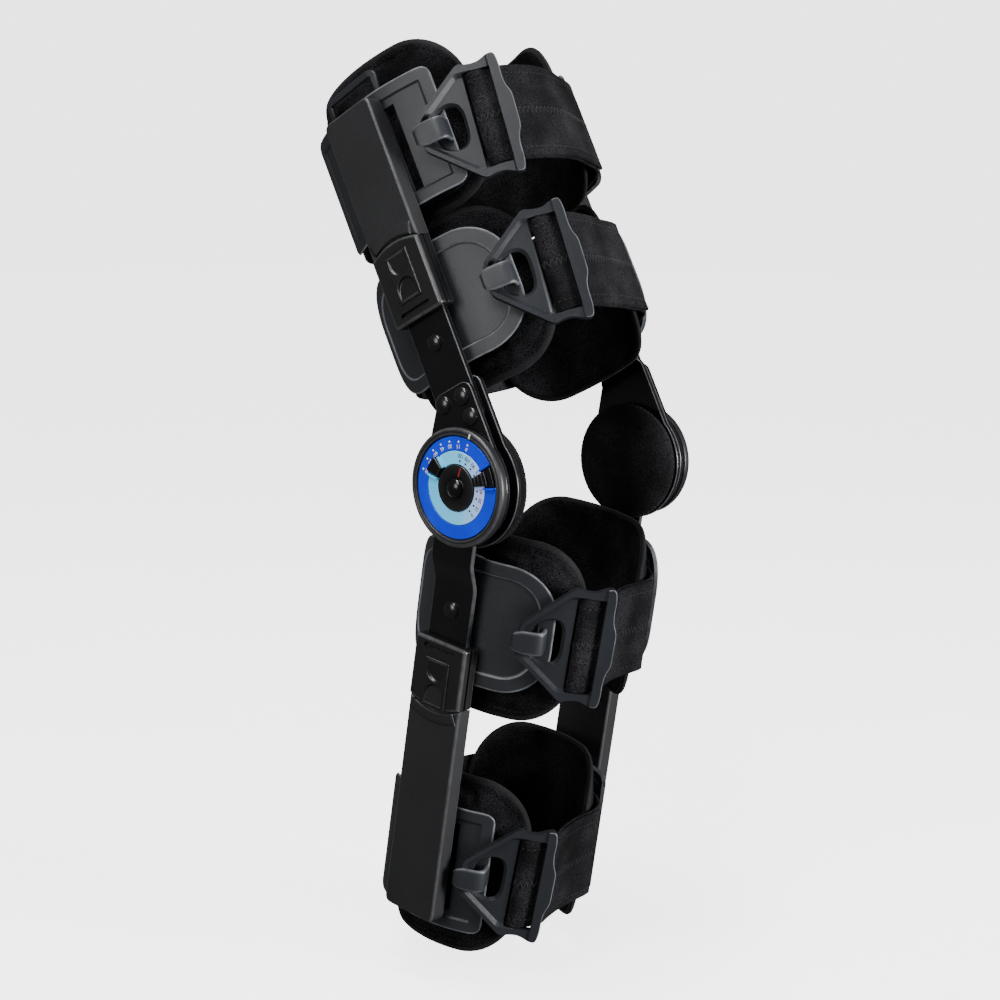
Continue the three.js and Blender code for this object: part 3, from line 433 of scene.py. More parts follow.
def coated(name, grain_sizes, dark, light, bare_and_highlight=None, amount=1.0, **sockets):
    """A grained finish between a dark and a light colour, with a third, lighter colour along the edges that
    stands partly for wear and partly for a painted highlight; the grain's sizes are its fine and broad scale
    and its depth."""
    made, tree, shader = surface(name, **sockets)
    colour = grained(tree, shader, *grain_sizes, [(0.3, dark), (0.7, light)])
    if bare_and_highlight:
        worn(tree, shader, colour, bare_and_highlight, amount)
    return made


# The coated steel's lighter edge colour is partly chipped coat and partly a painted highlight: the bright
# line the bars' and plates' front edges catch
steel = coated(
    "black_coated_steel", (700.0, 60.0, 0.03), (0.0015, 0.0015, 0.002), (0.003, 0.003, 0.0038),
    (0.26, 0.265, 0.28), 0.6, Roughness=0.24, Coat_Weight=0.2, Coat_Roughness=0.12,
)

for side in SIDES:
    place = on_bar("thigh", side)
    bar = BARS["thigh"]
    half_width = STRUT_WIDTH / 2
    face = STRUT_BACK + STRUT_THICK
    outline = rounded_rect(bar["axis"] - half_width, bar["axis"] + half_width, *bar["strut"], STRUT_CORNER)
    strip = moulded(outline, STRUT_BACK, face, STEEL_EDGE, place)
    head = rivet(bar["axis"], bar["rivet"], face, place)
    piece(f"{side}_thigh_bar", joined(strip, head), steel, "thigh_frame", "bar_steel", f"{side}_thigh_strut")

    place = on_bar("calf", side)
    bar = BARS["calf"]
    crank = np.linspace(-CRANK[0] + 1, -CRANK[1] - 1, 22)
    along = np.concatenate([[-6, -18, -30], crank, [-90, -120, -150, -bar["strut"][1]]])
    shift = bar["step"] * step_up(-along, CRANK[0], CRANK[1] - CRANK[0])
    corner = rounded_rect(-half_width, half_width, STRUT_BACK, face, 0.7, sides=3, steps=5)
    out = corner[None, :, 1] - shift[:, None]
    ahead = bar["axis"] + corner[None, :, 0] * np.ones((len(along), 1))
    rows, columns = out.shape
    # Half the edge mask along both long edges of the cranked bar: a painted highlight line, with wear
    bent = (
        place(out, ahead, along[:, None]).reshape(-1, 3),
        tube_faces(rows, columns),
        np.tile((np.abs(corner[:, 0]) > half_width - 0.6) * 0.5, rows),
    )
    eye_profile = [
        (EYE_BORE, STRUT_BACK), (EYE_RADIUS - EYE_EDGE, STRUT_BACK), (EYE_RADIUS, STRUT_BACK + EYE_EDGE),
        (EYE_RADIUS, face - EYE_EDGE), (EYE_RADIUS - EYE_EDGE, face), (EYE_BORE, face),
    ]
    eye_ring = turned(eye_profile, (0, 0), place, 72, ring=True)
    head = rivet(bar["axis"], -bar["rivet"], face - bar["step"], place)
    whole = joined(bent, eye_ring, head)
    piece(f"{side}_calf_bar", whole, steel, "calf_frame", "bar_steel", f"{side}_calf_strut")


# Hinge plates. A stamped steel arm carries the dial on the thigh bar and is riveted to it in three
# places; a slightly larger steel plate lies behind it, and the calf bar's eye turns between the two.
ARM_BACK, ARM_FACE, ARM_RADIUS = 76.5, 79.3, 31.5
ARM_TOP, ARM_FRONT, ARM_REAR, ARM_CORNER, ARM_JOIN = 50.5, 30.0, 1.5, 6.0, 112
ARM_RIVETS = [(21.7, 43.6), (7.6, 44.4), (22.6, 31.6)]
BACKING_BACK, BACKING_FACE, BACKING_SPREAD = 70.1, 72.9, 2.4


def arm_outline(spread):
    """The eye's round from the rear join on to the front, then the arm's two upper corners."""
    radius, front, rear, top = ARM_RADIUS + spread, ARM_FRONT + spread, ARM_REAR - spread, ARM_TOP + spread
    front_join = np.degrees(np.arccos(front / radius))
    return np.concatenate([
        arc((0, 0), radius, ARM_JOIN, 360 + front_join, 80),
        arc((front - ARM_CORNER, top - ARM_CORNER), ARM_CORNER, 0, 90, 12),
        arc((rear + ARM_CORNER, top - ARM_CORNER), ARM_CORNER, 90, 180, 12),
    ])


for side in SIDES:
    place = on_bar("thigh", side)
    plate = moulded(arm_outline(0), ARM_BACK, ARM_FACE, STEEL_EDGE, place)
    heads = [rivet(ahead, up, ARM_FACE, place) for ahead, up in ARM_RIVETS]
    whole = joined(plate, *heads)
    piece(f"{side}_hinge_plate", whole, steel, "thigh_frame", "bar_steel", f"{side}_hinge_arm")
    backing = moulded(arm_outline(BACKING_SPREAD), BACKING_BACK, BACKING_FACE, STEEL_EDGE, place)
    piece(f"{side}_hinge_backing", backing, steel, "thigh_frame", "bar_steel", f"{side}_hinge_back")


# Dial case. A turned black plastic cup screwed over the arm, with a rolled lip and a fine groove round
# it; a white index line is printed on the lip.
CASE_BACK, CASE_FLOOR, CASE_FACE, CASE_RADIUS, CASE_RIM = 79.6, 82.5, 84.6, 32.5, 28.3
INDEX_TURN, INDEX_RADII, INDEX_WIDE = 46, (28.7, 31.3), 1.0

# Its lighter edge colour, mixed in by the case's rim mask, is partly wear and partly a painted highlight: the
# bright line round the lip
hinge_black = coated(
    "hinge_black", (1500.0, 40.0, 0.06), (0.008, 0.008, 0.0095), (0.0125, 0.0125, 0.0145),
    (0.1, 0.1, 0.106), Roughness=0.36,
)
white_print = coated("white_print", (2000.0, 200.0, 0.05), (0.78,) * 3, (0.88,) * 3, Roughness=0.5)

case_profile = [
    (0.0, CASE_BACK), (CASE_RADIUS - 0.5, CASE_BACK), (CASE_RADIUS, CASE_BACK + 0.5),
    (CASE_RADIUS, CASE_FACE - 1.5), (CASE_RADIUS - 0.25, CASE_FACE - 0.8),
    (CASE_RADIUS - 0.8, CASE_FACE - 0.25), (CASE_RADIUS - 1.4, CASE_FACE), (CASE_RIM + 2.0, CASE_FACE),
    (CASE_RIM + 1.75, CASE_FACE - 0.3), (CASE_RIM + 1.5, CASE_FACE - 0.3), (CASE_RIM + 1.25, CASE_FACE),
    (CASE_RIM + 0.4, CASE_FACE), (CASE_RIM, CASE_FACE - 0.4), (CASE_RIM, CASE_FLOOR), (0.0, CASE_FLOOR),
]
# A mask on the rolled lip and the groove's edges for the lighter edge colour: a painted highlight line round
# the rim, with wear
case_wear_and_highlight = [0, 0, 0, 0, 0.5, 1, 0.4, 0.2, 0, 0, 0.2, 0.6, 0.2, 0, 0]


def turned_to(radius, degrees, side_step=0.0):
    """A dial place (ahead, up): that far from the pin, at an angle from straight up towards the front."""
    turn = np.radians(degrees)
    ahead = radius * np.sin(turn) + side_step * np.cos(turn)
    return np.array([ahead, radius * np.cos(turn) - side_step * np.sin(turn)])


def dial_bar(inner, outer, degrees, width, back, face, place):
    """A thin bar along a radius of the dial, as a moulded slab."""
    corners = [(inner, -width), (outer, -width), (outer, width), (inner, width)]
    loop = np.array([turned_to(radius, degrees, step / 2) for radius, step in corners])
    return moulded(loop, back, face, 0.05, place, 2)


for side in SIDES:
    place = on_bar("thigh", side)
    case = turned(case_profile, (0, 0), place, 120, case_wear_and_highlight)
    piece(f"{side}_dial_case", case, hinge_black, "thigh_frame", "hinge_black", f"{side}_dial_housing")
    mark = dial_bar(*INDEX_RADII, INDEX_TURN, INDEX_WIDE, CASE_FACE - 0.4, CASE_FACE + 0.12, place)
    piece(f"{side}_index_line", mark, white_print, "thigh_frame", None)


# Dial rings. Two moulded rings that turn in the case to set how far the knee may straighten and bend:
# a deep blue outer one with white figures and dots, and a light blue inner one with dark ones.
RING_BACK, RING_FACE = 82.8, 84.1
EXTENSION = dict(inner=20.3, outer=27.6, notch=99, wide=25, first=INDEX_TURN, step=-15,
                 dots=24.9, figures=22.3, size=3.0)
FLEXION = dict(inner=12.9, outer=20.0, notch=-28, wide=32, first=167, step=-16.2,
               dots=15.0, figures=17.7, size=2.9)
FIGURES = {"extension": [0, 15, 30, 45, 60, 75, 90], "flexion": [0, 15, 30, 45, 60, 75, 90, 105, 120]}
LIP_WIDE, LIP_TOP, LIP_TURN, DOT_RADIUS = 1.1, 86.0, 1.4, 0.62

blue = coated(
    "dial_blue", (1800.0, 90.0, 0.03), (0.0, 0.026, 0.6), (0.0, 0.034, 0.74), (0.03, 0.15, 0.9), 0.9,
    Roughness=0.28, Specular_IOR_Level=0.3,
)
pale, pale_tree, pale_shader = surface("dial_light_blue", Roughness=0.3, Specular_IOR_Level=0.3)
# The light blue runs from cyan at the rear to lilac at the front across the ring: a painted reflection
pale_place = node(pale_tree, "ShaderNodeTexCoord").outputs["Object"]
pale_split = node(pale_tree, "ShaderNodeSeparateXYZ", {0: pale_place})
pale_reach = {"Value": pale_split.outputs["Y"], "From Min": 0.018, "From Max": -0.018}
pale_run = node(pale_tree, "ShaderNodeMapRange", pale_reach)
pale_reflection_stops = [(0.0, (0.09, 0.62, 1.0)), (0.55, (0.16, 0.66, 1.0)), (1.0, (0.5, 0.58, 1.0))]
pale_reflection_tint = ramp(pale_tree, pale_run.outputs[0], pale_reflection_stops)
grain_on(pale_tree, pale_shader, 1800.0, 90.0, 0.03)
worn(pale_tree, pale_shader, pale_reflection_tint, (0.5, 0.72, 0.95), 0.9)
dark_print = coated(
    "dark_print", (2000.0, 200.0, 0.05), (0.03, 0.008, 0.014), (0.05, 0.012, 0.02), Roughness=0.5
)


def ring_outline(inner, outer, start, end, steps):
    """A sector of a ring between two angles from straight up towards the front."""
    outside = arc((0, 0), outer, 90 - end, 90 - start, steps)
    return np.concatenate([outside, arc((0, 0), inner, 90 - start, 90 - end, steps)])


def figure_shape(text, size, centre, degrees, reading, face, place):
    """A printed figure: its outline laid flat with its head towards the pin, centred on a dial place."""
    curve = bpy.data.curves.new("figure", "FONT")
    curve.body = text
    curve.size = size
    curve.extrude = 0.05
    curve.offset = 0.003 * size
    holder = bpy.data.objects.new("figure", curve)
    flat = bpy.data.meshes.new_from_object(holder)
    points = np.empty(len(flat.vertices) * 3)
    flat.vertices.foreach_get("co", points)
    points = points.reshape(-1, 3)
    faces = [list(polygon.vertices) for polygon in flat.polygons]
    bpy.data.objects.remove(holder)
    bpy.data.curves.remove(curve)
    bpy.data.meshes.remove(flat)
    points[:, :2] -= (points[:, :2].min(0) + points[:, :2].max(0)) / 2
    turn = np.radians(degrees)
    head = -np.array([np.sin(turn), np.cos(turn)])
    across = reading * np.array([head[1], -head[0]])
    spot = centre + points[:, :1] * across + points[:, 1:2] * head
    return place(face + points[:, 2], spot[:, 0], spot[:, 1]), faces, np.zeros(len(points))


for side, sign in SIDES.items():
    place = on_bar("thigh", side)
    for name, ring, finish, ink, slot in (
        ("extension", EXTENSION, blue, white_print, "dial_blue"),
        ("flexion", FLEXION, pale, dark_print, "dial_light_blue"),
    ):
        start, end = ring["notch"] + ring["wide"] / 2, ring["notch"] + 360 - ring["wide"] / 2
        loop = ring_outline(ring["inner"], ring["outer"], start, end, 90)
        band = moulded(loop, RING_BACK, RING_FACE, 0.35, place)
        reach = (ring["inner"] + 0.3, ring["outer"] - 0.2)
        lip_turns = (start + LIP_TURN, end - LIP_TURN)
        lips = [dial_bar(*reach, turn, LIP_WIDE, RING_FACE - 0.5, LIP_TOP, place) for turn in lip_turns]
        body = f"{side}_{name}_limit"
        piece(f"{side}_{name}_ring", joined(band, *lips), finish, body, slot, f"{side}_{name}_dial")
        turns = [ring["first"] + ring["step"] * i for i in range(len(FIGURES[name]))]
        clear = ring["wide"] / 2 + 3
        shown = [
            (turn, str(value))
            for turn, value in zip(turns, FIGURES[name])
            if abs(turn - ring["notch"]) > clear
        ]
        spots = [turned_to(ring["figures"], turn) for turn, _ in shown]
        under, over = RING_FACE - 0.1, RING_FACE + 0.06
        dot = [(0, under), (DOT_RADIUS, under), (DOT_RADIUS, over), (0, over)]
        dots = [turned(dot, turned_to(ring["dots"], turn), place, 14) for turn, _ in shown]
        marks = [
            figure_shape(text, ring["size"], spot, turn, -sign, RING_FACE + 0.03, place)
            for (turn, text), spot in zip(shown, spots)
        ]
        piece(f"{side}_{name}_figures", joined(*dots, *marks), ink, body, None)


# Stops. Moulded gloss-black keys that fill each ring's notch and carry a finger lever above it, ribbed
# on the outer ring's; lifted and turned, they set the ring.
STOP_OVER, STOP_TOP, STOP_SLACK = 84.4, 86.2, 1.2
RIB_RADII, RIB_HALF, RIB_SHARE = (16.0, 18.6, 21.2), 0.45, 0.8
LEVERS = {"extension": (EXTENSION, 23.8, 10), "flexion": (FLEXION, 21.5, 13)}

# Its lighter edge colour along the keys' and the hub's edges is partly wear and partly a painted highlight
gloss = coated(
    "gloss_black", (1400.0, 50.0, 0.03), (0.002, 0.002, 0.0024), (0.004, 0.004, 0.0045),
    (0.06, 0.06, 0.065), 0.9, Roughness=0.2,
)

for side in SIDES:
    place = on_bar("thigh", side)
    for name, (ring, reach, spread) in LEVERS.items():
        half = ring["wide"] / 2 - STOP_SLACK
        notch = ring["notch"]
        foot_loop = ring_outline(ring["inner"] + 0.4, ring["outer"] - 0.4, notch - half, notch + half, 14)
        foot = moulded(foot_loop, RING_BACK, STOP_OVER + 0.5, 0.4, place)
        lever_loop = ring_outline(FLEXION["inner"] + 0.4, reach, notch - spread, notch + spread, 14)
        lever = moulded(lever_loop, STOP_OVER, STOP_TOP, 0.7, place)
        ribs = []
        for radius in RIB_RADII if name == "extension" else ():
            wide = spread * RIB_SHARE
            rib_loop = ring_outline(radius - RIB_HALF, radius + RIB_HALF, notch - wide, notch + wide, 14)
            ribs.append(moulded(rib_loop, STOP_TOP - 0.3, STOP_TOP + 0.5, 0.3, place))
        piece(
            f"{side}_{name}_key", joined(foot, lever, *ribs), gloss, f"{side}_{name}_limit", "hinge_black",
            f"{side}_{name}_stop",
        )


# Hub. A turned black cap pressed on the hinge pin: a flat disc with a polished dome in the middle and
# one red line printed across its edge.
HUB_RADIUS, HUB_BACK, HUB_FACE, DOME_RADIUS, DOME_TOP, PIN_RADIUS = 12.6, 82.9, 84.8, 5.2, 87.6, 4.0
HUB_LINE_RADII, HUB_LINE_WIDE = (6.6, 11.6), 0.9

red_print = coated(
    "red_print", (2000.0, 200.0, 0.05), (0.2, 0.004, 0.006), (0.28, 0.008, 0.01), Roughness=0.45
)

dome_turn = np.radians(np.linspace(90, 0, 10))
hub_profile = [
    (0, BACKING_BACK + GAP), (PIN_RADIUS, BACKING_BACK + GAP), (PIN_RADIUS, HUB_BACK), (HUB_RADIUS, HUB_BACK),
    (HUB_RADIUS, HUB_FACE - 0.5), (HUB_RADIUS - 0.15, HUB_FACE - 0.15), (HUB_RADIUS - 0.5, HUB_FACE),
    (DOME_RADIUS + 1.0, HUB_FACE), (DOME_RADIUS + 0.7, HUB_FACE - 0.35), (DOME_RADIUS, HUB_FACE - 0.35),
    *[(DOME_RADIUS * np.sin(t), HUB_FACE + (DOME_TOP - HUB_FACE) * np.cos(t)) for t in dome_turn],
]
# A lighter ring round the cap's rounded edge: partly wear, partly a painted highlight
hub_wear_and_highlight = [0, 0, 0, 0, 0.3, 1, 0.3] + [0] * (len(hub_profile) - 7)
for side in SIDES:
    place = on_bar("thigh", side)
    cap = turned(hub_profile, (0, 0), place, 80, hub_wear_and_highlight)
    piece(f"{side}_hub", cap, gloss, "thigh_frame", "hinge_black", f"{side}_pivot")
    line = dial_bar(*HUB_LINE_RADII, INDEX_TURN, HUB_LINE_WIDE, HUB_FACE - 0.1, HUB_FACE + 0.1, place)
    piece(f"{side}_hub_line", line, red_print, "thigh_frame", None)


# Condyle cushions. Round foam pads in a black knitted cover, stitched round the rim and stuck to the
# hinge's inner face, where they bear on the sides of the knee.
CUSHION_RADIUS, CUSHION_FACE, CUSHION_CROWN, CUSHION_RIM = 33.5, 69.8, 57.0, 62.5
CUSHION_SEAM = CUSHION_RIM + 4.0
CUSHION_STEPS, PUCKERS, PUCKER_DEPTH = 144, 36, 0.35
CUSHION_STITCHES, CUSHION_STITCH_TURN = 72, 0.055
LOOP_STROKE = 0.0006

cloth, cloth_in, cloth_out = shared(
    "brushed_loops", [("Loops", 1100.0), ("Broad", 45.0)], ["Height", "Shade"]
)
cloth_place = node(cloth, "ShaderNodeTexCoord").outputs["Object"]
cloth_grid = {"Vector": cloth_place, "Scale": cloth_in.outputs["Loops"]}
cloth_cells = node(cloth, "ShaderNodeTexVoronoi", cloth_grid)
cloth_fuzz = noise(cloth, cloth_place, 4200.0, 2.0)
cloth_tone = noise(cloth, cloth_place, cloth_in.outputs["Broad"], 1.0)
cloth_loop = combined(cloth, "SUBTRACT", 1.0, cloth_cells.outputs["Distance"])
cloth_mean = combined(cloth, "MULTIPLY", cloth_loop, cloth_tone)
cloth.links.new(combined(cloth, "ADD", cloth_loop, cloth_fuzz), cloth_out.inputs["Height"])
cloth.links.new(combined(cloth, "MULTIPLY", cloth_mean, cloth_fuzz), cloth_out.inputs["Shade"])


def fabric(name, loops, depth, dark, light, **sockets):
    """A woven or knitted finish: the loops' height as bump, their shade between two colours, and sheen."""
    made, tree, shader = surface(name, Specular_IOR_Level=0.04, **sockets)
    group = node(tree, "ShaderNodeGroup", {"Loops": loops}, node_tree=cloth)
    bumped(tree, shader, group.outputs["Height"], depth, LOOP_STROKE)
    colour = ramp(tree, group.outputs["Shade"], [(0.08, dark), (0.26, light)])
    tree.links.new(colour, shader.inputs["Base Color"])
    return made


knit = fabric(
    "black_knit", 1500.0, 0.5, (0.004, 0.004, 0.0046), (0.02, 0.02, 0.0218), Roughness=0.7, Sheen_Weight=0.015
)
thread = fabric(
    "black_thread", 3000.0, 0.4, (0.016, 0.016, 0.017), (0.04, 0.04, 0.042), Roughness=0.55, Sheen_Weight=0.04
)


def stitch_row(start, end, outward, radius):
    """Sewn stitches: from each start to its end a thread that arches out of the cloth by its own radius,
    as a five-sided tube that narrows to both ends."""
    share = np.array([0.0, 0.2, 0.5, 0.8, 1.0])
    width = np.array([0.45, 0.9, 1.0, 0.9, 0.45]) * radius
    arch = np.array([-0.5, 0.35, 0.7, 0.35, -0.5]) * radius
    run = end - start
    aside = np.cross(outward, unit(run))
    turn = full_turn(5)
    middle = start[:, None] + run[:, None] * share[:, None] + outward[:, None] * arch[:, None]
    ring = aside[:, None, None] * np.cos(turn)[:, None] + outward[:, None, None] * np.sin(turn)[:, None]
    points = middle[:, :, None] + ring * width[:, None, None]
    one = np.array(grid_faces(5, 5, round_columns=True))
    caps = np.array([[0, 1, 2, 3, 4], [20, 21, 22, 23, 24]])
    shift = 25 * np.arange(len(start))[:, None, None]
    faces = (one + shift).reshape(-1, 4).tolist() + (caps + shift).reshape(-1, 5).tolist()
    return points.reshape(-1, 3), faces, np.zeros(points.size // 3)


for side in SIDES:
    place = on_bar("thigh", side)
    rows = np.linspace(0, 1, 30)
    round_off = np.clip((rows - 0.62) / 0.38, 0, 1)
    rim = CUSHION_RADIUS - np.array([0, 0.6, 0, 1.4, CUSHION_RADIUS])
    radius = np.concatenate([CUSHION_RADIUS * rows ** 0.9, rim])
    crown = CUSHION_CROWN + (CUSHION_RIM - CUSHION_CROWN) * rows ** 2.2 + 2.6 * round_off ** 3
    back = [CUSHION_SEAM - 0.6, CUSHION_SEAM, CUSHION_SEAM + 0.8, CUSHION_FACE, CUSHION_FACE]
    out = np.concatenate([crown, back])
    turn = full_turn(CUSHION_STEPS)
    near_seam = np.exp(-(((out - CUSHION_SEAM) / 1.6) ** 2))[:, None]
    pucker = PUCKER_DEPTH * near_seam * np.cos(PUCKERS * turn)
    across = radius[:, None] - np.where(radius[:, None] > 20, np.abs(pucker), 0)
    points = place(out[:, None], across * np.cos(turn), across * np.sin(turn))
    count = len(out)
    faces = grid_faces(count, CUSHION_STEPS, round_columns=True)
    faces.append(list(range((count - 1) * CUSHION_STEPS, count * CUSHION_STEPS)))
    foam = points.reshape(-1, 3), faces, np.zeros(count * CUSHION_STEPS)
    nodes = [f"{side}_condyle_pad"]
    cushion = piece(f"{side}_condyle_cushion", foam, knit, "thigh_frame", "condyle_cover", *nodes)
    turn = full_turn(CUSHION_STITCHES)
    seat = CUSHION_RADIUS - 0.35
    starts = place(CUSHION_SEAM, seat * np.cos(turn), seat * np.sin(turn))
    later = turn + CUSHION_STITCH_TURN
    ends = place(CUSHION_SEAM, seat * np.cos(later), seat * np.sin(later))
    outward = place(0, np.cos(turn + 0.027), np.sin(turn + 0.027)) * 1000
    stitches = stitch_row(starts, ends, outward, 0.00035)
    piece(f"{side}_condyle_seam", stitches, thread, "thigh_frame", None)


# Sleeves. Long black moulded covers that the bars slide into, with softly broken edges, a fine matt
# grain and a raised curved collar at the end that meets the lock.
SLEEVE_BACK, SLEEVE_FACE, SLEEVE_WIDTH, SLEEVE_EDGE, SLEEVE_CORNER = 69.8, 80.3, 37.0, 1.6, 5.0
LOCK_ARC, LOCK_PROUD = 4.0, 1.3
CHANNEL_SPARE, SHARP = 12.0, 0.01
COLLAR_SLOPE = [
    (-3.6, -0.5), (-3.6, 0.0), (-2.9, 0.42), (-2.0, 0.6), (2.0, 0.9), (2.9, 0.75), (3.4, 0.3), (3.4, -0.5)
]

# Its lighter edge colour along the rounded edges is partly wear and partly a painted highlight
sleeve_black = coated(
    "matt_black_moulding", (1500.0, 30.0, 0.6), (0.0092, 0.0094, 0.0105), (0.0125, 0.0128, 0.0142),
    (0.07, 0.072, 0.078), Roughness=0.44, Specular_IOR_Level=0.55,
)


def bend(start, pull, end, steps):
    """A quadratic curve from start to end, drawn towards the pull point."""
    t = np.linspace(0, 1, steps)[:, None]
    return (1 - t) ** 2 * np.array(start) + 2 * t * (1 - t) * np.array(pull) + t ** 2 * np.array(end)


def carved(name, shape, *cutters):
    """A shape less its cutters, worked out once with exact cuts."""
    holder = bpy.data.objects.new(name, mesh_of(name, shape))
    bpy.context.collection.objects.link(holder)
    tools = []
    for cutter in cutters:
        tool = bpy.data.objects.new("cutter", mesh_of("cutter", cutter))
        bpy.context.collection.objects.link(tool)
        cut = holder.modifiers.new("cut", "BOOLEAN")
        cut.operation, cut.solver, cut.object = "DIFFERENCE", "EXACT", tool
        tools.append(tool)
    ready = bpy.data.meshes.new_from_object(holder.evaluated_get(bpy.context.evaluated_depsgraph_get()))
    for used in [holder, *tools]:
        data = used.data
        bpy.data.objects.remove(used)
        bpy.data.meshes.remove(data)
    return ready


def along_bar(bar, near, far):
    """Two distances from the pin along a bar, as lower and upper ends."""
    return sorted([bar["up"] * near, bar["up"] * far])


def channel_of(bar, place):
    """The bar's way through a sleeve and its lock: a slot wider than the bar by a gap on every side, from
    before the lock to a little past the bar's inner end."""
    reach = STRUT_WIDTH / 2 + GAP
    low, high = along_bar(bar, bar["lock"][0] - CHANNEL_SPARE, bar["strut"][1] + CHANNEL_SPARE)
    loop = rounded_rect(bar["axis"] - reach, bar["axis"] + reach, low, high, 0.5, 2, 3)
    back = STRUT_BACK - bar["step"]
    return moulded(loop, back - GAP, back + STRUT_THICK + GAP, SHARP, place, 1)


for side in SIDES:
    for half, bar in BARS.items():
        place = on_bar(half, side)
        axis, up, reach = bar["axis"], bar["up"], SLEEVE_WIDTH / 2
        start, end = bar["lock"][1] - LOCK_ARC + GAP, bar["end"]
        low, high = up * start, up * (start + 2 * LOCK_ARC)
        near = bend((axis - reach, low), (axis, high), (axis + reach, low), 24)
        far = [axis + reach, up * end]
        front_corner = bend((far[0], up * (end - SLEEVE_CORNER)), far, (far[0] - SLEEVE_CORNER, far[1]), 8)
        far = [axis - reach, up * end]
        rear_corner = bend((far[0] + SLEEVE_CORNER, far[1]), far, (far[0], up * (end - SLEEVE_CORNER)), 8)
        outline = np.concatenate([near, front_corner, rear_corner])
        back, face = SLEEVE_BACK - bar["step"], SLEEVE_FACE - bar["step"]
        cover = moulded(outline, back, face, SLEEVE_EDGE, place)
        collar_line = (near[1:-1] - [axis, 0]) * [0.93, 1] + [axis, up * 4.2]
        slope = np.array(COLLAR_SLOPE) * [-up, 1] + [0, face]
        collar = swept(collar_line, slope, place)
        name, body = f"{side}_{half}", f"{half}_slider"
        hollow = carved(f"{name}_cover", cover, channel_of(bar, place))
        piece(f"{name}_cover", hollow, sleeve_black, body, "sleeve_black", f"{name}_sleeve")
        piece(f"{name}_collar", collar, sleeve_black, body, "sleeve_black")


# Locks. Glossier black moulded heads clipped on the sleeves, standing a little proud of them, with a
# finger slot at the hinge end, a groove along each side and a sunk pocket for the release button.
BUTTON_FROM, BUTTON_LENGTH, BUTTON_WIDTH = 11.0, 27.0, 17.4
BUTTON_TRAVEL, BUTTON_THICK, BUTTON_PROUD = 1.5, 3.0, 0.6
POCKET_GAP, POCKET_CORNER = 0.45, 1.2
LOCK_SLOT, LOCK_SLOT_HALF, LOCK_SLOT_DEPTH = (3.2, 6.2), 11.5, 2.0
LOCK_CORNER, LOCK_EDGE = 2.0, 2.0
GROOVE_OUT, GROOVE_HEIGHT, GROOVE_DEPTH = 75.6, 1.6, 0.9

# Its lighter edge colour along the heads' and the keys' edges is partly wear and partly a painted highlight
lock_black = coated(
    "satin_black_moulding", (1500.0, 40.0, 0.12), (0.0025, 0.0025, 0.003), (0.0045, 0.0045, 0.0052),
    (0.1, 0.103, 0.11), Roughness=0.34, Specular_IOR_Level=0.8,
)

for side in SIDES:
    for half, bar in BARS.items():
        place = on_bar(half, side)
        axis, up, reach = bar["axis"], bar["up"], SLEEVE_WIDTH / 2
        near, shoulder = bar["lock"][0], bar["lock"][1] - LOCK_ARC
        low, high = up * shoulder, up * (shoulder + 2 * LOCK_ARC)
        rise = bend((axis + reach, low), (axis, high), (axis - reach, low), 24)
        end, inset = up * near, up * (near + LOCK_CORNER)
        rear_end = bend((axis - reach, inset), (axis - reach, end), (axis - reach + LOCK_CORNER, end), 5)
        front_end = bend((axis + reach - LOCK_CORNER, end), (axis + reach, end), (axis + reach, inset), 5)
        face = SLEEVE_FACE + LOCK_PROUD - bar["step"]
        outline = np.concatenate([rear_end, front_end, rise])
        block = moulded(outline, SLEEVE_BACK - bar["step"], face, LOCK_EDGE, place, 5)
        low, high = along_bar(bar, near + BUTTON_FROM, near + BUTTON_FROM + BUTTON_LENGTH)
        grow = BUTTON_WIDTH / 2 + POCKET_GAP
        pocket_ends = (low - POCKET_GAP, high + POCKET_GAP)
        pocket_loop = rounded_rect(axis - grow, axis + grow, *pocket_ends, POCKET_CORNER, 2)
        floor_out = face + BUTTON_PROUD - BUTTON_THICK - BUTTON_TRAVEL - GAP
        pocket = moulded(pocket_loop, floor_out, face + 3, SHARP, place, 1)
        slot_low, slot_high = along_bar(bar, near + LOCK_SLOT[0], near + LOCK_SLOT[1])
        slot_loop = rounded_rect(axis - LOCK_SLOT_HALF, axis + LOCK_SLOT_HALF, slot_low, slot_high, 1.4, 2)
        slot = moulded(slot_loop, face - LOCK_SLOT_DEPTH, face + 3, SHARP, place, 1)
        groove_low, groove_high = along_bar(bar, near - 4, bar["lock"][1] + 4)
        grooves = []
        for edge in (-1, 1):
            wall = axis + edge * reach
            inner, outer = sorted([wall - edge * GROOVE_DEPTH, wall + edge * 3])
            corners = [(inner, groove_low), (outer, groove_low), (outer, groove_high), (inner, groove_high)]
            out = GROOVE_OUT - bar["step"]
            grooves.append(moulded(np.array(corners), out, out + GROOVE_HEIGHT, SHARP, place, 1))
        name = f"{side}_{half}"
        cutters = [pocket, slot, *grooves, channel_of(bar, place)]
        head = carved(f"{name}_lock_head", block, *cutters)
        body = f"{half}_slider"
        piece(f"{name}_lock_head", head, lock_black, body, "lock_black", f"{name}_lock", bevel=0.3)


# Release buttons. Black moulded keys sprung in the locks' pockets, each with two thumb scoops that face
# each other across a narrow bridge.
SCOOP_RADIUS, SCOOP_DEPTH, SCOOP_REACH, SCOOP_WALL, BRIDGE_HALF = 6.9, 1.7, 12.0, 0.9, 0.7


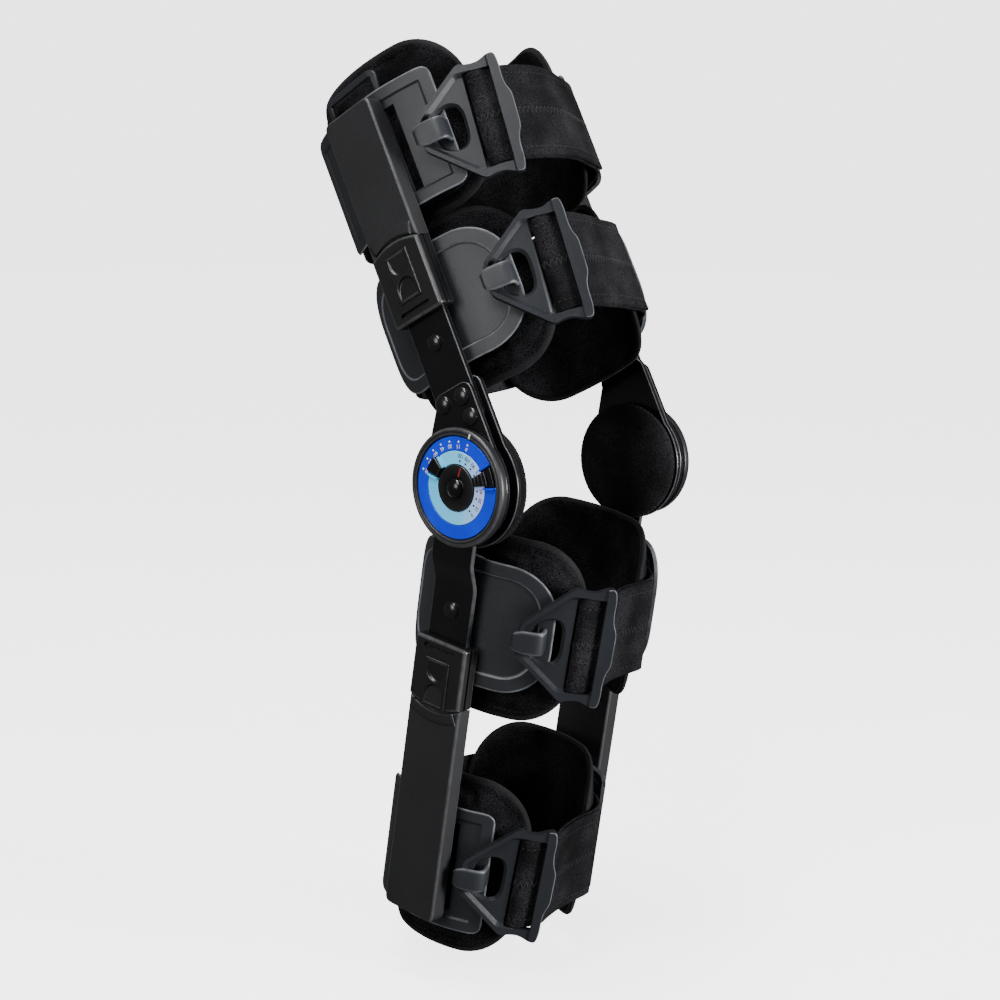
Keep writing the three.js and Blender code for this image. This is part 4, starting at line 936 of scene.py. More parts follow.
def key_shape(bar, place):
    """A push key: a grid over its face, its outer lines turned down as sides. Each scoop is a lane with a
    round end at the bridge, deepest there and rising evenly to the face; below it all lies a flat base."""
    near = bar["lock"][0] + BUTTON_FROM
    middle = near + BUTTON_LENGTH / 2
    face = SLEEVE_FACE + LOCK_PROUD + BUTTON_PROUD - bar["step"]
    skirt = np.array([0, 0, 0.15, 0.45])
    drop = np.array([BUTTON_THICK, 0.45, 0.12, 0])
    wide, long = BUTTON_WIDTH / 2, BUTTON_LENGTH / 2
    across = np.concatenate([skirt - wide, np.linspace(0.8 - wide, wide - 0.8, 44), wide - skirt[::-1]])
    along = np.concatenate([skirt - long, np.linspace(0.8 - long, long - 0.8, 70), long - skirt[::-1]])
    down_across = np.concatenate([drop, np.zeros(44), drop[::-1]])
    down_along = np.concatenate([drop, np.zeros(70), drop[::-1]])
    x, v = np.meshgrid(across, along, indexing="ij")
    sunk = np.maximum(down_across[:, None], down_along[None, :])
    for way in (1, -1):
        run = way * v - BRIDGE_HALF
        rim = SCOOP_RADIUS - np.hypot(x, np.minimum(run - SCOOP_RADIUS, 0))
        sunk = sunk + SCOOP_DEPTH * step_up(rim, 0, SCOOP_WALL) * np.clip(1 - run / SCOOP_REACH, 0, 1)
    sunk = np.minimum(sunk, BUTTON_THICK)
    points = place(face - sunk, bar["axis"] + x, bar["up"] * (middle + v))
    rows, columns = x.shape
    number = np.arange(rows * columns).reshape(rows, columns)
    base = np.concatenate([number[:-1, 0], number[-1, :-1], number[:0:-1, -1], number[0, :0:-1]])
    # The key's turned-down outline takes the lighter edge colour: a painted highlight round the key, with
    # wear
    turned_down = (sunk > 0.05) & (sunk < 0.5)
    near_edge = np.maximum(np.abs(x) / wide, np.abs(v) / long) > 0.9
    edge = np.where(turned_down & near_edge, 1.0, 0.0)
    return points.reshape(-1, 3), grid_faces(rows, columns) + [base.tolist()], edge.reshape(-1)


for side in SIDES:
    for half, bar in BARS.items():
        key = key_shape(bar, on_bar(half, side))
        name = f"{side}_{half}"
        piece(f"{name}_push_key", key, lock_black, f"{name}_release", "lock_black", f"{name}_button")


# Cuff pads. Foam faced with black brushed loop cloth, bound round the edge with a smooth tape and
# sewn through; the cloth between the seam and the shell is blown out a little by the foam.
CUFFS = {
    "thigh_top": dict(
        half="thigh", body="thigh_slider", width=55, depth=66.5, centre=-17, mid=179, hook=41, tilt=5,
        pad=(-78, 62, 144.5, 243, 36), plate=(-50, 42, 151, 221, 6, 7), slots=(12.5, -26), wide=6,
        slot=(159, 209), boss=179, back=69.8, loop=(-24, 15, 234),
    ),
    "thigh_low": dict(
        half="thigh", body="thigh_frame", width=54, depth=63.5, centre=-13, mid=92.5, hook=48.5, tilt=4,
        pad=(-62, 66, 47, 142.5, 36), plate=(-50, 50, 61, 131, 26, 8), slots=(), boss=78, back=73.2,
    ),
    "calf_top": dict(
        half="calf", body="calf_frame", width=49.5, depth=55, centre=0, mid=-78, hook=45, tilt=1.5,
        pad=(-64, 70, -130, -27, 38), plate=(-54, 49, -112, -39.5, 26, 8), slots=(), boss=-72, back=73.2,
    ),
    "calf_low": dict(
        half="calf", body="calf_slider", width=48, depth=49.5, centre=7.5, mid=-224, hook=37.5, tilt=3,
        pad=(-62, 63, -277, -171, 38), plate=(-38, 38, -260, -186, 6, 7), slots=(9, -19.5), wide=10.5,
        slot=(-249, -196), boss=-224, back=69.8,
    ),
}
PAD_BASE, PAD_EDGE, PAD_FULL, PAD_RAMP = 0.4, 4.4, 8.0, 24.0
PAD_SEAM, PAD_SEAM_HEIGHT, BINDING_WIDE = 6.2, 4.2, 3.1
PAD_PRESSURE, PAD_SWELL = 5.0, 0.0022
PAD_SIDES, PAD_STEPS = 14, 13
STITCH_PITCH, STITCH_LONG, STITCH_THICK = 3.2, 2.3, 0.00036
STRAP_WIDTH, STRAP_THICK = 53.6, 2.2
CUFF_LAYER, LEAST_CORNER = 10, 2.0

loop_cloth = fabric(
    "black_loop_cloth", 1650.0, 1.0, (0.001, 0.001, 0.0013), (0.025, 0.0248, 0.028),
    Roughness=0.9, Sheen_Weight=0.008,
)
tape = fabric(
    "binding_tape", 2400.0, 0.3, (0.006, 0.006, 0.0068), (0.019, 0.019, 0.0205),
    Roughness=0.5, Sheen_Weight=0.04,
)


def reach_of(cuff):
    """Mean radius of a cuff's middle layer, which turns a distance round the leg into an angle."""
    return (cuff["width"] + cuff["depth"]) / 2 + CUFF_LAYER


def on_leg(cuff, side, limit=None):
    """Leg coordinates in mm (height above the skin, distance round from the outermost point, up) to
    metres: an ellipse of the leg's half width and half depth grown by the height, then as on a bar; a
    limit keeps it from standing further out than that."""
    bar = on_bar(cuff["half"], side)

    def place(height, ahead, up):
        turn = np.asarray(ahead, float) / reach_of(cuff)
        out = (cuff["width"] + height) * np.cos(turn)
        if limit is not None:
            out = np.minimum(out, limit)
        return bar(out, (cuff["depth"] + height) * np.sin(turn) - cuff["centre"], up)

    return place


def zipped(size, corner, start):
    """Faces that close a symmetric loop: each point is joined to its mirror point by quads, and the two
    ends up to that many points from their middles by one face each."""
    half = size // 2
    i = np.arange(corner - 1, half - corner)
    ends = [[*range(size - corner, size), *range(corner)], [*range(half - corner, half + corner)]]
    faces = np.stack([i, i + 1, size - 2 - i, size - 1 - i], 1).tolist() + ends
    return [[start + number for number in face] for face in faces]


def outline_in(extents, distance, sides=PAD_SIDES, steps=PAD_STEPS):
    """A rounded outline moved in by a distance: its sides move in and its corner radius shrinks."""
    rear, front, low, high, corner = extents[:5]
    edges = (rear + distance, front - distance, low + distance, high - distance)
    return rounded_rect(*edges, max(corner - distance, LEAST_CORNER), sides, steps)


def pad_shape(cuff, place):
    """A cushion on the leg: rings of the outline moved in step by step, over the top at a height that
    rises from the bound edge to full thickness, and back under along the skin."""
    over = np.array([1.0, 2.4, 4.0, 5.4, PAD_SEAM, 7.2, 8.6, 10.2, 12, 14, 16.5, 19.5, 23, 27.5, 33])
    under = np.array([33, 24, 14, 6, 2, 1.0])
    height = PAD_EDGE + (PAD_FULL - PAD_EDGE) * step_up(over, 0, PAD_RAMP)
    height[0] = (PAD_EDGE + PAD_BASE) / 2 + 0.8
    height[4] -= 0.9
    insets = np.concatenate([over[::-1], under[::-1]])
    heights = np.concatenate([height[::-1], np.full(len(under), PAD_BASE)])
    loops = np.stack([outline_in(cuff["pad"], distance) for distance in insets])
    points = place(heights[:, None], loops[..., 0], loops[..., 1])
    rows, size = loops.shape[:2]
    faces = grid_faces(rows, size, round_columns=True)
    for first in (0, (rows - 1) * size):
        faces += zipped(size, PAD_SIDES + PAD_STEPS, first)
    loose = np.zeros(rows)
    loose[: len(over)] = ((over > PAD_SEAM + 0.5) & (over < 15))[::-1]
    clear = np.abs(loops[..., 1] - cuff["mid"]) > STRAP_WIDTH / 2 + 3
    pinned = 1 - loose[:, None] * clear
    return (points.reshape(-1, 3), faces, np.zeros(rows * size)), pinned.reshape(-1)


def blown(shape, pinned, pressure, most):
    """Runs a cloth simulation on a closed cushion: pressure from inside, pinned points held, and each
    point's movement kept under a most in metres. Returns the moved points."""
    points = np.asarray(shape[0])
    mesh = bpy.data.meshes.new("cushion_trial")
    mesh.from_pydata(points.tolist(), [], shape[1])
    work = bmesh.new()
    work.from_mesh(mesh)
    bmesh.ops.recalc_face_normals(work, faces=work.faces)
    work.to_mesh(mesh)
    work.free()
    trial = bpy.data.objects.new("cushion_trial", mesh)
    bpy.context.collection.objects.link(trial)
    hold = trial.vertex_groups.new(name="held")
    for weight in (0.0, 1.0):
        hold.add(np.flatnonzero(pinned == weight).tolist(), weight, "REPLACE")
    cloth_step = trial.modifiers.new("cloth", "CLOTH")
    settings = cloth_step.settings
    settings.vertex_group_mass = "held"
    settings.use_pressure = True
    settings.uniform_pressure_force = pressure
    settings.effector_weights.gravity = 0
    settings.quality = 6
    settings.tension_stiffness = settings.compression_stiffness = 8
    settings.bending_stiffness = 0.3
    settings.shrink_min = -0.06
    cloth_step.point_cache.frame_start, cloth_step.point_cache.frame_end = 1, 16
    scene = bpy.context.scene
    for number in range(1, 17):
        scene.frame_set(number)
    moved = np.empty(len(points) * 3)
    held = trial.evaluated_get(bpy.context.evaluated_depsgraph_get())
    held.data.vertices.foreach_get("co", moved)
    scene.frame_set(1)
    bpy.data.objects.remove(trial)
    bpy.data.meshes.remove(mesh)
    step = moved.reshape(-1, 3) - points
    length = np.linalg.norm(step, axis=1, keepdims=True)
    return points + step * np.minimum(1, most / np.maximum(length, 1e-9))


for name, cuff in CUFFS.items():
    lateral, pinned = pad_shape(cuff, on_leg(cuff, "lateral"))
    filled = blown(lateral, pinned, PAD_PRESSURE, PAD_SWELL)
    for side in SIDES:
        place = on_leg(cuff, side)
        mirror = [1, 1, 1] if side == "lateral" else [-1, 1, 1]
        cushion = piece(
            f"{side}_{name}_cushion", (filled * mirror, lateral[1], lateral[2]), loop_cloth, cuff["body"],
            "pad_fabric", f"{side}_{name}_pad",
        )
        finer = cushion.modifiers.new("soft", "SUBSURF")
        finer.levels = finer.render_levels = 1
        turn = full_turn(16)
        swell = 2.15 * np.sin(turn) * (0.9 + 0.1 * np.cos(turn))
        section = np.stack([np.cos(turn) * BINDING_WIDE, 2.4 + swell], 1)
        binding = swept(outline_in(cuff["pad"], BINDING_WIDE - 0.6, 24, 16), section, place, closed=True)
        piece(f"{side}_{name}_binding", binding, tape, cuff["body"], "pad_fabric")
        line = outline_in(cuff["pad"], PAD_SEAM - 0.9, 40, 24)
        step = np.linalg.norm(np.roll(line, -1, 0) - line, axis=1)
        run = np.concatenate([[0], np.cumsum(step)])
        closed = np.concatenate([line, line[:1]])
        count = int(run[-1] / STITCH_PITCH)
        stops = np.linspace(0, run[-1], count, endpoint=False)
        spot = [
            np.stack([np.interp((stops + more) % run[-1], run, closed[:, k]) for k in (0, 1)], 1)
            for more in (0, STITCH_LONG)
        ]
        starts, ends = (place(PAD_SEAM_HEIGHT, point[:, 0], point[:, 1]) for point in spot)
        outward = unit(place(PAD_SEAM_HEIGHT + 1, spot[0][:, 0], spot[0][:, 1]) - starts)
        seam = stitch_row(starts, ends, outward, STITCH_THICK)
        piece(f"{side}_{name}_pad_seam", seam, thread, cuff["body"], "pad_fabric")


# Cuff shells. Graphite moulded plastic sheets with a raised border round a sunk panel, curved to the
# leg and riveted behind the bars; the end ones are slotted, and the outer ones carry the strap's hook.
PLATE_BASE, PLATE_FACE, PLATE_RIM, PLATE_THICK = 12.0, 14.2, 15.2, 2.2
HOOK_HALF, HOOK_STEM, HOOK_TONGUE, HOOK_UNDER, HOOK_TOP, HOOK_BEND = 6.5, 3.0, 15.0, 24.2, 26.6, 4.0
HOOK_AHEAD, HOOK_FOOT, BOSS_RADIUS, BOSS_FOOT, SHELL_LIMIT = 26.0, 13.0, 7.0, 11, 69.5
PANEL_SIDES, PANEL_STEPS = 22, 14

# Its lighter edge colour along the shells' and hooks' edges is partly wear and partly a painted highlight
graphite = coated(
    "graphite_moulding", (1400.0, 26.0, 0.5), (0.0135, 0.015, 0.018), (0.0175, 0.0195, 0.023),
    (0.17, 0.18, 0.2), 1.2, Roughness=0.42, Specular_IOR_Level=0.42,
)


def panel_shape(cuff, place):
    """A shell without slots: rings of its outline moved in, at the border's height and then, past the
    border, at the panel's; closed by joining mirror points."""
    rim = cuff["plate"][5]
    insets = np.concatenate([
        [0, 0.5, 1.2, 2.5, rim * 0.5, rim - 1.2], rim + np.array([-0.6, -0.2, 0.2, 0.6, 1.0, 1.6]),
        np.linspace(rim + 3, cuff["plate"][4] - 3, 6),
    ])
    heights = PLATE_RIM - (PLATE_RIM - PLATE_FACE) * step_up(insets, rim - 0.4, 1.2)
    heights[0] -= 0.35
    heights[1] -= 0.1
    loops = np.stack([outline_in(cuff["plate"], distance, PANEL_SIDES, PANEL_STEPS) for distance in insets])
    points = place(heights[:, None], loops[..., 0], loops[..., 1])
    rows, size = loops.shape[:2]
    # The outer edge and the border's step take the lighter edge colour: painted highlight lines, with wear
    marks = np.where((insets < 0.8) | (np.abs(insets - rim) < 0.5), 1.0, 0.0)
    faces = grid_faces(rows, size, round_columns=True)
    faces += zipped(size, PANEL_SIDES + PANEL_STEPS, (rows - 1) * size)
    return points.reshape(-1, 3), faces, np.repeat(marks, size)


def slotted_shape(cuff, place):
    """A shell with slots: a grid whose lines follow the border, the slots' edges and the outline's
    rounded corners; cells inside a slot are left out."""
    rear, front, low, high, corner, rim = cuff["plate"]
    edge = np.array([0, 0.5, 1.2, 2.4, 4, rim - 0.6, rim - 0.1, rim + 0.4, rim + 0.9, rim + 1.6])
    cuts = [value for start in cuff["slots"] for value in (start, start + cuff["wide"])]
    fine = [value + shift for value in cuts for shift in (-1.6, -0.8, 0.0, 0.8, 1.6)]
    spread = np.linspace(rear + 9, front - 9, 22)
    columns = np.unique(np.round(np.concatenate([rear + edge, front - edge, fine, spread]), 3))
    columns = columns[np.concatenate([[True], np.diff(columns) > 0.25])]
    off_cut = np.min(np.abs(columns[:, None] - np.array(cuts)), axis=1) > 0.3
    columns = np.unique(np.concatenate([columns[off_cut], cuts]))
    slot_low, slot_high = cuff["slot"]
    between = np.linspace(slot_low + 3, slot_high - 3, 14)
    rows = np.unique(np.concatenate([low + edge, high - edge, [slot_low, slot_high], between]))
    ahead, up = np.meshgrid(columns, rows, indexing="ij")
    past = np.maximum(0, np.maximum(rear + corner - ahead, ahead - (front - corner)))
    drop = corner - np.sqrt(np.maximum(0, corner**2 - past**2))
    middle = (low + high) / 2
    up = middle + (up - middle) * (1 - 2 * drop / (high - low))
    across = np.minimum(ahead - rear, front - ahead)
    inside = np.minimum(across, np.minimum(up - low - drop, high - drop - up))
    sunk = step_up(inside, rim - 0.4, 1.2)
    height = PLATE_RIM - (PLATE_RIM - PLATE_FACE) * sunk - 0.35 * (inside < 0.2)
    points = place(height, ahead, up)
    count, size = ahead.shape
    faces = np.array(grid_faces(count, size))
    cell = [values.reshape(-1)[faces].mean(1) for values in (ahead, up)]
    open_cell = np.zeros(len(faces), bool)
    for start in cuff["slots"]:
        in_slot = (cell[0] > start) & (cell[0] < start + cuff["wide"])
        open_cell |= in_slot & (cell[1] > slot_low) & (cell[1] < slot_high)
    # The outer edge takes the lighter edge colour: a painted highlight line, with wear
    marks = np.where(inside < 0.8, 1.0, 0.0)
    return points.reshape(-1, 3), faces[~open_cell].tolist(), marks.reshape(-1)


def hook_shape(cuff, place):
    """A hook: a flat tongue carried up out of the shell, over a round bend and back along the leg; its
    section is a rounded strip that narrows at the tip."""
    middle = cuff["mid"] + HOOK_AHEAD * np.sin(np.radians(cuff["tilt"]))
    centre = (HOOK_UNDER + HOOK_TOP) / 2
    thick = (HOOK_TOP - HOOK_UNDER) / 2
    stem = cuff["hook"] - HOOK_STEM / 2
    turn = np.radians(np.linspace(0, 90, 9))
    tip = cuff["hook"] - HOOK_TONGUE
    ahead = np.concatenate([
        stem + np.linspace(1.2, 0.1, 5),
        stem - HOOK_BEND * (1 - np.cos(turn)),
        np.linspace(stem - HOOK_BEND - 1, tip, 8),
    ])
    height = np.concatenate([
        np.linspace(HOOK_FOOT, centre - HOOK_BEND - 0.4, 5),
        centre - HOOK_BEND * (1 - np.sin(turn)),
        np.full(8, centre),
    ])
    slope = unit(np.stack([np.gradient(ahead), np.gradient(height)], 1))
    wide = np.full(len(ahead), HOOK_HALF)
    wide[-5:] = HOOK_HALF * np.array([0.99, 0.96, 0.9, 0.8, 0.6])
    full = np.ones(len(ahead))
    full[-2:] = [0.85, 0.5]
    turn = full_turn(24)
    across = np.sign(np.cos(turn)) * np.abs(np.cos(turn)) ** 0.35
    deep = np.sign(np.sin(turn)) * np.abs(np.sin(turn)) ** 0.6 * thick
    up = middle + wide[:, None] * across
    spot_ahead = ahead[:, None] - slope[:, 1:] * deep * full[:, None]
    spot_height = height[:, None] + slope[:, :1] * deep * full[:, None]
    points = place(spot_height, spot_ahead, up)
    rows, columns = points.shape[:2]
    faces = tube_faces(rows, columns)
    # Both side edges of the hook take part of the lighter edge colour: a painted highlight along them, with
    # wear
    return points.reshape(-1, 3), faces, np.tile(np.exp(-((np.abs(across) - 0.95) / 0.1) ** 2) * 0.6, rows)


for name, cuff in CUFFS.items():
    bar = BARS[cuff["half"]]
    limit = SHELL_LIMIT - bar["step"]
    for side in SIDES:
        place = on_leg(cuff, side, limit)
        sheet = slotted_shape(cuff, place) if cuff["slots"] else panel_shape(cuff, place)
        shell = mesh_of(f"{side}_{name}_shell", sheet)
        facing = np.empty(len(shell.polygons) * 3)
        shell.polygons.foreach_get("normal", facing)
        if facing.reshape(-1, 3)[:, 0].mean() * SIDES[side] < 0:
            shell.flip_normals()
        made = piece(shell.name, shell, graphite, cuff["body"], "cuff_graphite", f"{side}_{name}_plate")
        made.modifiers.clear()
        thick = made.modifiers.new("sheet", "SOLIDIFY")
        thick.thickness = PLATE_THICK / 1000
        thick.offset = -1
        soft = made.modifiers.new("rounded_edges", "BEVEL")
        soft.width, soft.segments, soft.limit_method, soft.angle_limit = 0.0003, 2, "ANGLE", np.radians(45)
        made.modifiers.new("even_faces", "WEIGHTED_NORMAL").weight = 60
        foot, seat = cuff["width"] + BOSS_FOOT, cuff["back"] - bar["step"] - GAP
        boss = [(0, foot), (BOSS_RADIUS, foot), (BOSS_RADIUS, seat), (0, seat)]
        fixings = [turned(boss, (bar["axis"], cuff["boss"]), on_bar(cuff["half"], side), 40)]
        if "loop" in cuff:
            rear, front, top = cuff["loop"]
            high = cuff["plate"][3] - 3
            line = np.concatenate([
                [[rear + 2, high]],
                arc((rear + 5, top - 5), 3, 180, 90, 8),
                arc((front - 5, top - 5), 3, 90, 0, 8),
                [[front - 2, high]],
            ])
            strip = rounded_rect(-2, 2, PLATE_BASE + 0.1, PLATE_FACE, 0.7, 2, 4)
            fixings.append(swept(line, strip, on_leg(cuff, side)))
        if side == "lateral":
            fixings.append(hook_shape(cuff, on_leg(cuff, side)))
        piece(f"{side}_{name}_fixings", joined(*fixings), graphite, cuff["body"], "cuff_graphite")


# Buckles. Triangular graphite mouldings with a raised rim round a sunk panel and a window that drops
# over the hook; the strap folds round a bar in the slot, behind a waved guard.
BUCKLE_OVERLAP, BUCKLE_TANGENT, BUCKLE_HEIGHT, BUCKLE_HALF = 11.5, 20.0, 16.5, 1.6
CROSSBAR_AHEAD, CROSSBAR_HEIGHT, CROSSBAR_RADIUS, CROSSBAR_UP = 29.6, -0.5, 2.0, 29.5
BUCKLE_EDGE = [(-5, 9.2), (23, 32.8), (28, 31.2), (34, 31), (40, 34), (44.2, 34.2), (45.4, 28)]
GUARD_EDGE = [(45.2, 20), (45.9, 14.5), (48.2, 9.5)]
SLOT_NEAR, SLOT_FAR, SLOT_UP = 24.5, 40.0, 27.2
PANEL_TOP, RIM_TOP, GUARD_TOP, GUARD_UNDER = 0.5, 3.0, 3.9, 0.4

# The buckles' graphite is a darker copy of the shells' though it is the same plastic: painted shade, since
# the buckles catch more of the lamps' light; its lighter edge colour is partly wear and partly a painted
# highlight
buckle_shaded_graphite = coated(
    "buckle_graphite_painted_shade", (1400.0, 26.0, 0.5), (0.0105, 0.0115, 0.014), (0.0145, 0.016, 0.019),
    (0.15, 0.16, 0.18), 1.2, Roughness=0.36, Specular_IOR_Level=0.28,
)


def buckle_seat(cuff):
    """Where a buckle sits: its angle round the leg, and its middle's distance out and place in depth."""
    ahead = cuff["hook"] - BUCKLE_OVERLAP + BUCKLE_TANGENT
    turn = ahead / reach_of(cuff)
    out = (cuff["width"] + BUCKLE_HEIGHT) * np.cos(turn)
    return turn, out, cuff["centre"] - (cuff["depth"] + BUCKLE_HEIGHT) * np.sin(turn)


def on_buckle(cuff):
    """Buckle coordinates in mm (height, ahead from its apex, up) to metres: tilted in its own plane, laid
    against the leg at its seat, then as on a bar."""
    turn, seat_out, seat_y = buckle_seat(cuff)
    tilt = np.radians(cuff["tilt"])
    bar = on_bar(cuff["half"], "lateral")

    def place(height, ahead, up):
        run = BUCKLE_TANGENT - np.asarray(ahead, float)
        y = run * np.cos(tilt) - up * np.sin(tilt)
        rise = cuff["mid"] + (CROSSBAR_AHEAD - BUCKLE_TANGENT) * np.sin(tilt)
        z = run * np.sin(tilt) + up * np.cos(tilt) + rise
        out = seat_out + height * np.cos(turn) + y * np.sin(turn)
        return bar(out, -(seat_y - height * np.sin(turn) + y * np.cos(turn)), z)

    return place


def softened(corners, radius, steps=6):
    """A closed outline with its corners rounded: a quadratic curve from a radius before to one after."""
    corners = np.array(corners, float)
    before, after = np.roll(corners, 1, 0) - corners, np.roll(corners, -1, 0) - corners
    pieces = []
    for corner, back, on in zip(corners, before, after):
        reach = [min(radius, 0.45 * np.linalg.norm(v)) / np.linalg.norm(v) for v in (back, on)]
        pieces.append(bend(corner + back * reach[0], corner, corner + on * reach[1], steps))
    return np.concatenate(pieces)


def mirrored(upper):
    """A closed outline of an upper edge and its mirror below."""
    upper = np.array(upper, float)
    return np.concatenate([upper, upper[::-1] * [1, -1]])


def tapered(loop, low, high, spread, place):
    """A slab whose outline grows by a spread on its way from low to high, closed with flat ends."""
    rows = np.stack([loop, set_in(loop, -spread)])
    points = place(np.array([[low], [high]]), rows[..., 0], rows[..., 1])
    size = len(loop)
    return points.reshape(-1, 3), tube_faces(2, size), np.zeros(2 * size)


buckle_outline = softened(mirrored(BUCKLE_EDGE + GUARD_EDGE), 3.0)
panel_outline = softened(mirrored([(-1.6, 6.4), (21.5, 25.6), (30, 25.6)]), 1.6)
window_outline = softened(mirrored([(3.5, 7.6), (11.5, 11.6), (16.5, 10.8), (18.6, 6.6)]), 3.5)
slot_outline = softened(mirrored([(SLOT_NEAR, SLOT_UP), (SLOT_FAR, SLOT_UP)]), 1.0)
pass_outline = np.array([(SLOT_FAR - 2, -SLOT_UP), (56, -SLOT_UP), (56, SLOT_UP), (SLOT_FAR - 2, SLOT_UP)])
low_outline = np.array([(-20, -50), (SLOT_FAR - 1, -50), (SLOT_FAR - 1, 50), (-20, 50)])

for name, cuff in CUFFS.items():
    place = on_buckle(cuff)
    frame_body = carved(
        f"{name}_buckle_frame",
        moulded(buckle_outline, -BUCKLE_HALF, GUARD_TOP, 0.7, place),
        tapered(low_outline, RIM_TOP, RIM_TOP + 3, 3, place),
        tapered(panel_outline, PANEL_TOP, PANEL_TOP + 6, 5.0, place),
        tapered(window_outline, -BUCKLE_HALF - 1, PANEL_TOP + 1, 3.1, place),
        moulded(slot_outline, -9, 9, SHARP, place, 1),
        moulded(pass_outline, -9, GUARD_UNDER, SHARP, place, 1),
    )
    piece(
        f"{name}_buckle_frame", frame_body, buckle_shaded_graphite, cuff["body"], "cuff_graphite", f"{name}_buckle",
        bevel=0.45,
    )
    rod_turn = full_turn(20)
    rod_out = CROSSBAR_HEIGHT + CROSSBAR_RADIUS * np.sin(rod_turn)
    rod_section = np.stack([CROSSBAR_RADIUS * np.cos(rod_turn), rod_out], 1)
    rod_line = np.stack([np.full(12, CROSSBAR_AHEAD), np.linspace(-CROSSBAR_UP, CROSSBAR_UP, 12)], 1)
    rod = swept(rod_line, rod_section, place)
    piece(f"{name}_buckle_bar", rod, buckle_shaded_graphite, cuff["body"], "cuff_graphite")


# Straps. Black brushed elastic webbing, sewn along both edges and down the middle: each runs from under
# the outer shell round the back and the inner shell to the front, through its buckle and back on itself.
STRAP_ON_SKIN, STRAP_ON_PAD, STRAP_END = 1.5, 9.7, 358
RAMP_BEFORE, RAMP_AFTER, LANDING, FREE_END = 18, 14, 20, 4
FOLD_OVER, FOLD_UNDER, FOLD_LEAVE, GUARD_END = -1.3, -4.6, -6.3, 45.4
STRAP_LAYER = STRAP_THICK + GAP
SEAM_UP, ZIGZAG_UP, STRAP_STEP, STRAP_STITCH = 21.6, 2.0, 1.6, 0.0003

webbing = fabric(
    "black_webbing", 1650.0, 1.0, (0.004, 0.004, 0.0046), (0.034, 0.0333, 0.038),
    Roughness=0.9, Sheen_Weight=0.008,
)


def strap_path(cuff):
    """The strap's middle line in the leg's section, in mm: arcs of the leg's ellipse at the strap's
    height, curves that lead to the buckle, and a round fold over its crossbar; with each point's share of
    the buckle's tilt."""
    degrees_of = 180 / np.pi / reach_of(cuff)
    inner_front, inner_rear = 180 - cuff["pad"][1] * degrees_of, 180 - cuff["pad"][0] * degrees_of
    outer_rear = 360 + cuff["pad"][0] * degrees_of
    seat_turn, seat_out, seat_y = buckle_seat(cuff)

    def around(degrees, lift):
        on_inner = step_up(degrees, inner_front - RAMP_BEFORE, RAMP_BEFORE + RAMP_AFTER)
        on_inner = on_inner - step_up(degrees, inner_rear - RAMP_AFTER, RAMP_BEFORE + RAMP_AFTER)
        on_outer = step_up(degrees, outer_rear - RAMP_BEFORE, RAMP_BEFORE + RAMP_AFTER)
        height = STRAP_ON_SKIN + (STRAP_ON_PAD - STRAP_ON_SKIN) * (on_inner + on_outer) + lift
        turn = np.radians(degrees)
        x = -(cuff["width"] + height) * np.cos(turn)
        return np.stack([x, cuff["centre"] - (cuff["depth"] + height) * np.sin(turn)], -1)

    def at_buckle(ahead, height):
        along = np.asarray(ahead, float) - BUCKLE_TANGENT
        x = -(seat_out + height * np.cos(seat_turn) - along * np.sin(seat_turn))
        return np.stack([x, seat_y - height * np.sin(seat_turn) - along * np.cos(seat_turn)], -1)

    landing = inner_front - LANDING

    def lead(lift):
        leave, land = at_buckle(GUARD_END, lift + FOLD_LEAVE), around(landing, lift)
        forward = around(landing - 1, lift) - land
        pull = land + forward / np.linalg.norm(forward) * np.linalg.norm(land - leave) / 2
        return bend(leave, pull, land, 24)

    fold_radius = CROSSBAR_RADIUS + GAP + STRAP_THICK / 2
    turn = np.radians(np.linspace(70, 270, 25))
    fold_ahead = CROSSBAR_AHEAD + fold_radius * np.cos(turn)
    fold = at_buckle(fold_ahead, CROSSBAR_HEIGHT + fold_radius * np.sin(turn))
    runs = [
        (around(np.arange(inner_front + FREE_END, landing + 1, -2.0), STRAP_LAYER), 0.0),
        (lead(STRAP_LAYER)[::-1], np.linspace(0, 1, 24)),
        (at_buckle(np.array([43.0, SLOT_FAR, 36.5]), np.array([-2.6, FOLD_OVER, 0.5])), 1.0),
        (fold, 1.0),
        (at_buckle(np.array([36.0, SLOT_FAR, 43.0]), np.array([-4.2, FOLD_UNDER, -5.4])), 1.0),
        (lead(0.0), np.linspace(1, 0, 24)),
        (around(np.arange(landing + 2, STRAP_END + 1, 2.0), 0.0), 0.0),
    ]
    path = np.concatenate([points for points, _ in runs])
    skew = np.concatenate([np.broadcast_to(share, len(points)) for points, share in runs])
    return path, skew


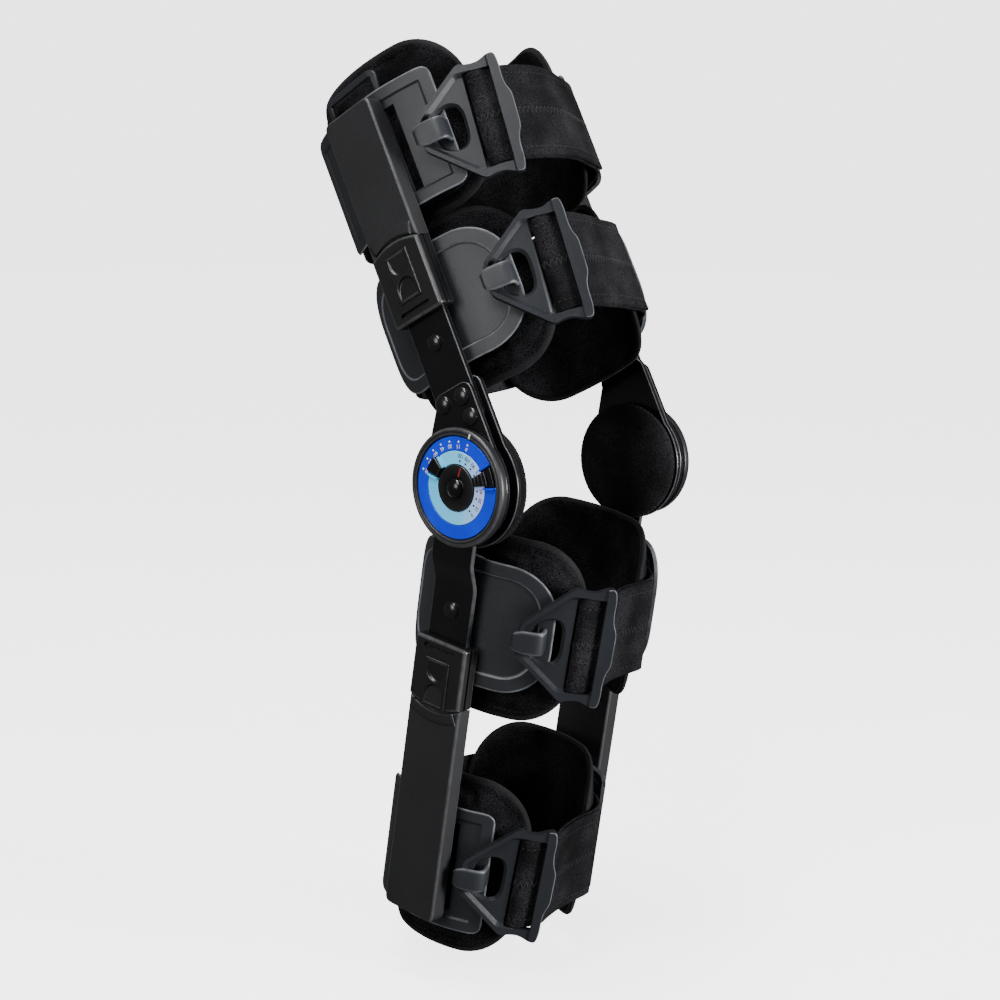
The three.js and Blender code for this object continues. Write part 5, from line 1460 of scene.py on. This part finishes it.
for name, cuff in CUFFS.items():
    path, skew = strap_path(cuff)
    step = np.linalg.norm(np.diff(path, axis=0), axis=1)
    run = np.concatenate([[0], np.cumsum(step)])
    length = run[-1]
    marks = np.linspace(0, length, int(length / STRAP_STEP))
    path = np.stack([np.interp(marks, run, path[:, k]) for k in (0, 1)], 1)
    skew = np.interp(marks, run, skew)
    soft = np.pad(path, ((3, 3), (0, 0)), mode="reflect", reflect_type="odd")
    even = np.array([1, 2, 3, 4, 3, 2, 1]) / 16
    path = np.stack([np.convolve(soft[:, k], even, "valid") for k in (0, 1)], 1)
    along = unit(np.gradient(path, axis=0))
    side_way = np.stack([-along[:, 1], along[:, 0]], 1)
    seat_turn = buckle_seat(cuff)[0]
    lean = np.tan(np.radians(cuff["tilt"]))
    bar = on_bar(cuff["half"], "medial")

    def on_strap(index, deep, up):
        """A strap point in metres: on the middle line, moved off it by deep and across it by up."""
        slide = (skew[index] * lean * up)[..., None] * np.array([np.sin(seat_turn), -np.cos(seat_turn)])
        spot = path[index] + side_way[index] * np.asarray(deep)[..., None] + slide
        return bar(spot[..., 0], -spot[..., 1], cuff["mid"] + up)

    section = rounded_rect(-STRAP_WIDTH / 2, STRAP_WIDTH / 2, -STRAP_THICK / 2, STRAP_THICK / 2, 1.0, 6, 5)
    index = np.arange(len(path))[:, None] * np.ones((1, len(section)), int)
    thin = 1 - 0.12 * np.exp(-(((np.abs(section[:, 0]) - 21.5) / 1.2) ** 2))
    full = np.ones((len(path), 1))
    points = on_strap(index, section[:, 1] * thin * full, section[:, 0] * full)
    rows, columns = points.shape[:2]
    faces = tube_faces(rows, columns)
    band = piece(
        f"{name}_webbing", (points.reshape(-1, 3), faces, np.zeros(rows * columns)), webbing, cuff["body"],
        "strap_webbing", f"{name}_strap",
    )

    heading = np.sign(np.sum(side_way * (path - [0, cuff["centre"]]), axis=1))
    first = np.arange(2, len(path) - 4, 2)
    lines = [(first, -SEAM_UP, -SEAM_UP), (first, SEAM_UP, SEAM_UP)]
    lines += [(first, -ZIGZAG_UP, ZIGZAG_UP), (first + 1, ZIGZAG_UP, -ZIGZAG_UP)]
    starts, ends, normals = [], [], []
    for picked, low, high in lines:
        deep = heading[picked] * (STRAP_THICK / 2 + 0.02)
        starts.append(on_strap(picked, deep, np.full(len(picked), low)))
        ends.append(on_strap(picked + 1, deep, np.full(len(picked), high)))
        away = on_strap(picked, deep + heading[picked], np.full(len(picked), low)) - starts[-1]
        normals.append(unit(away))
    seam = stitch_row(np.concatenate(starts), np.concatenate(ends), np.concatenate(normals), STRAP_STITCH)
    piece(f"{name}_webbing_seams", seam, thread, cuff["body"], "strap_webbing")
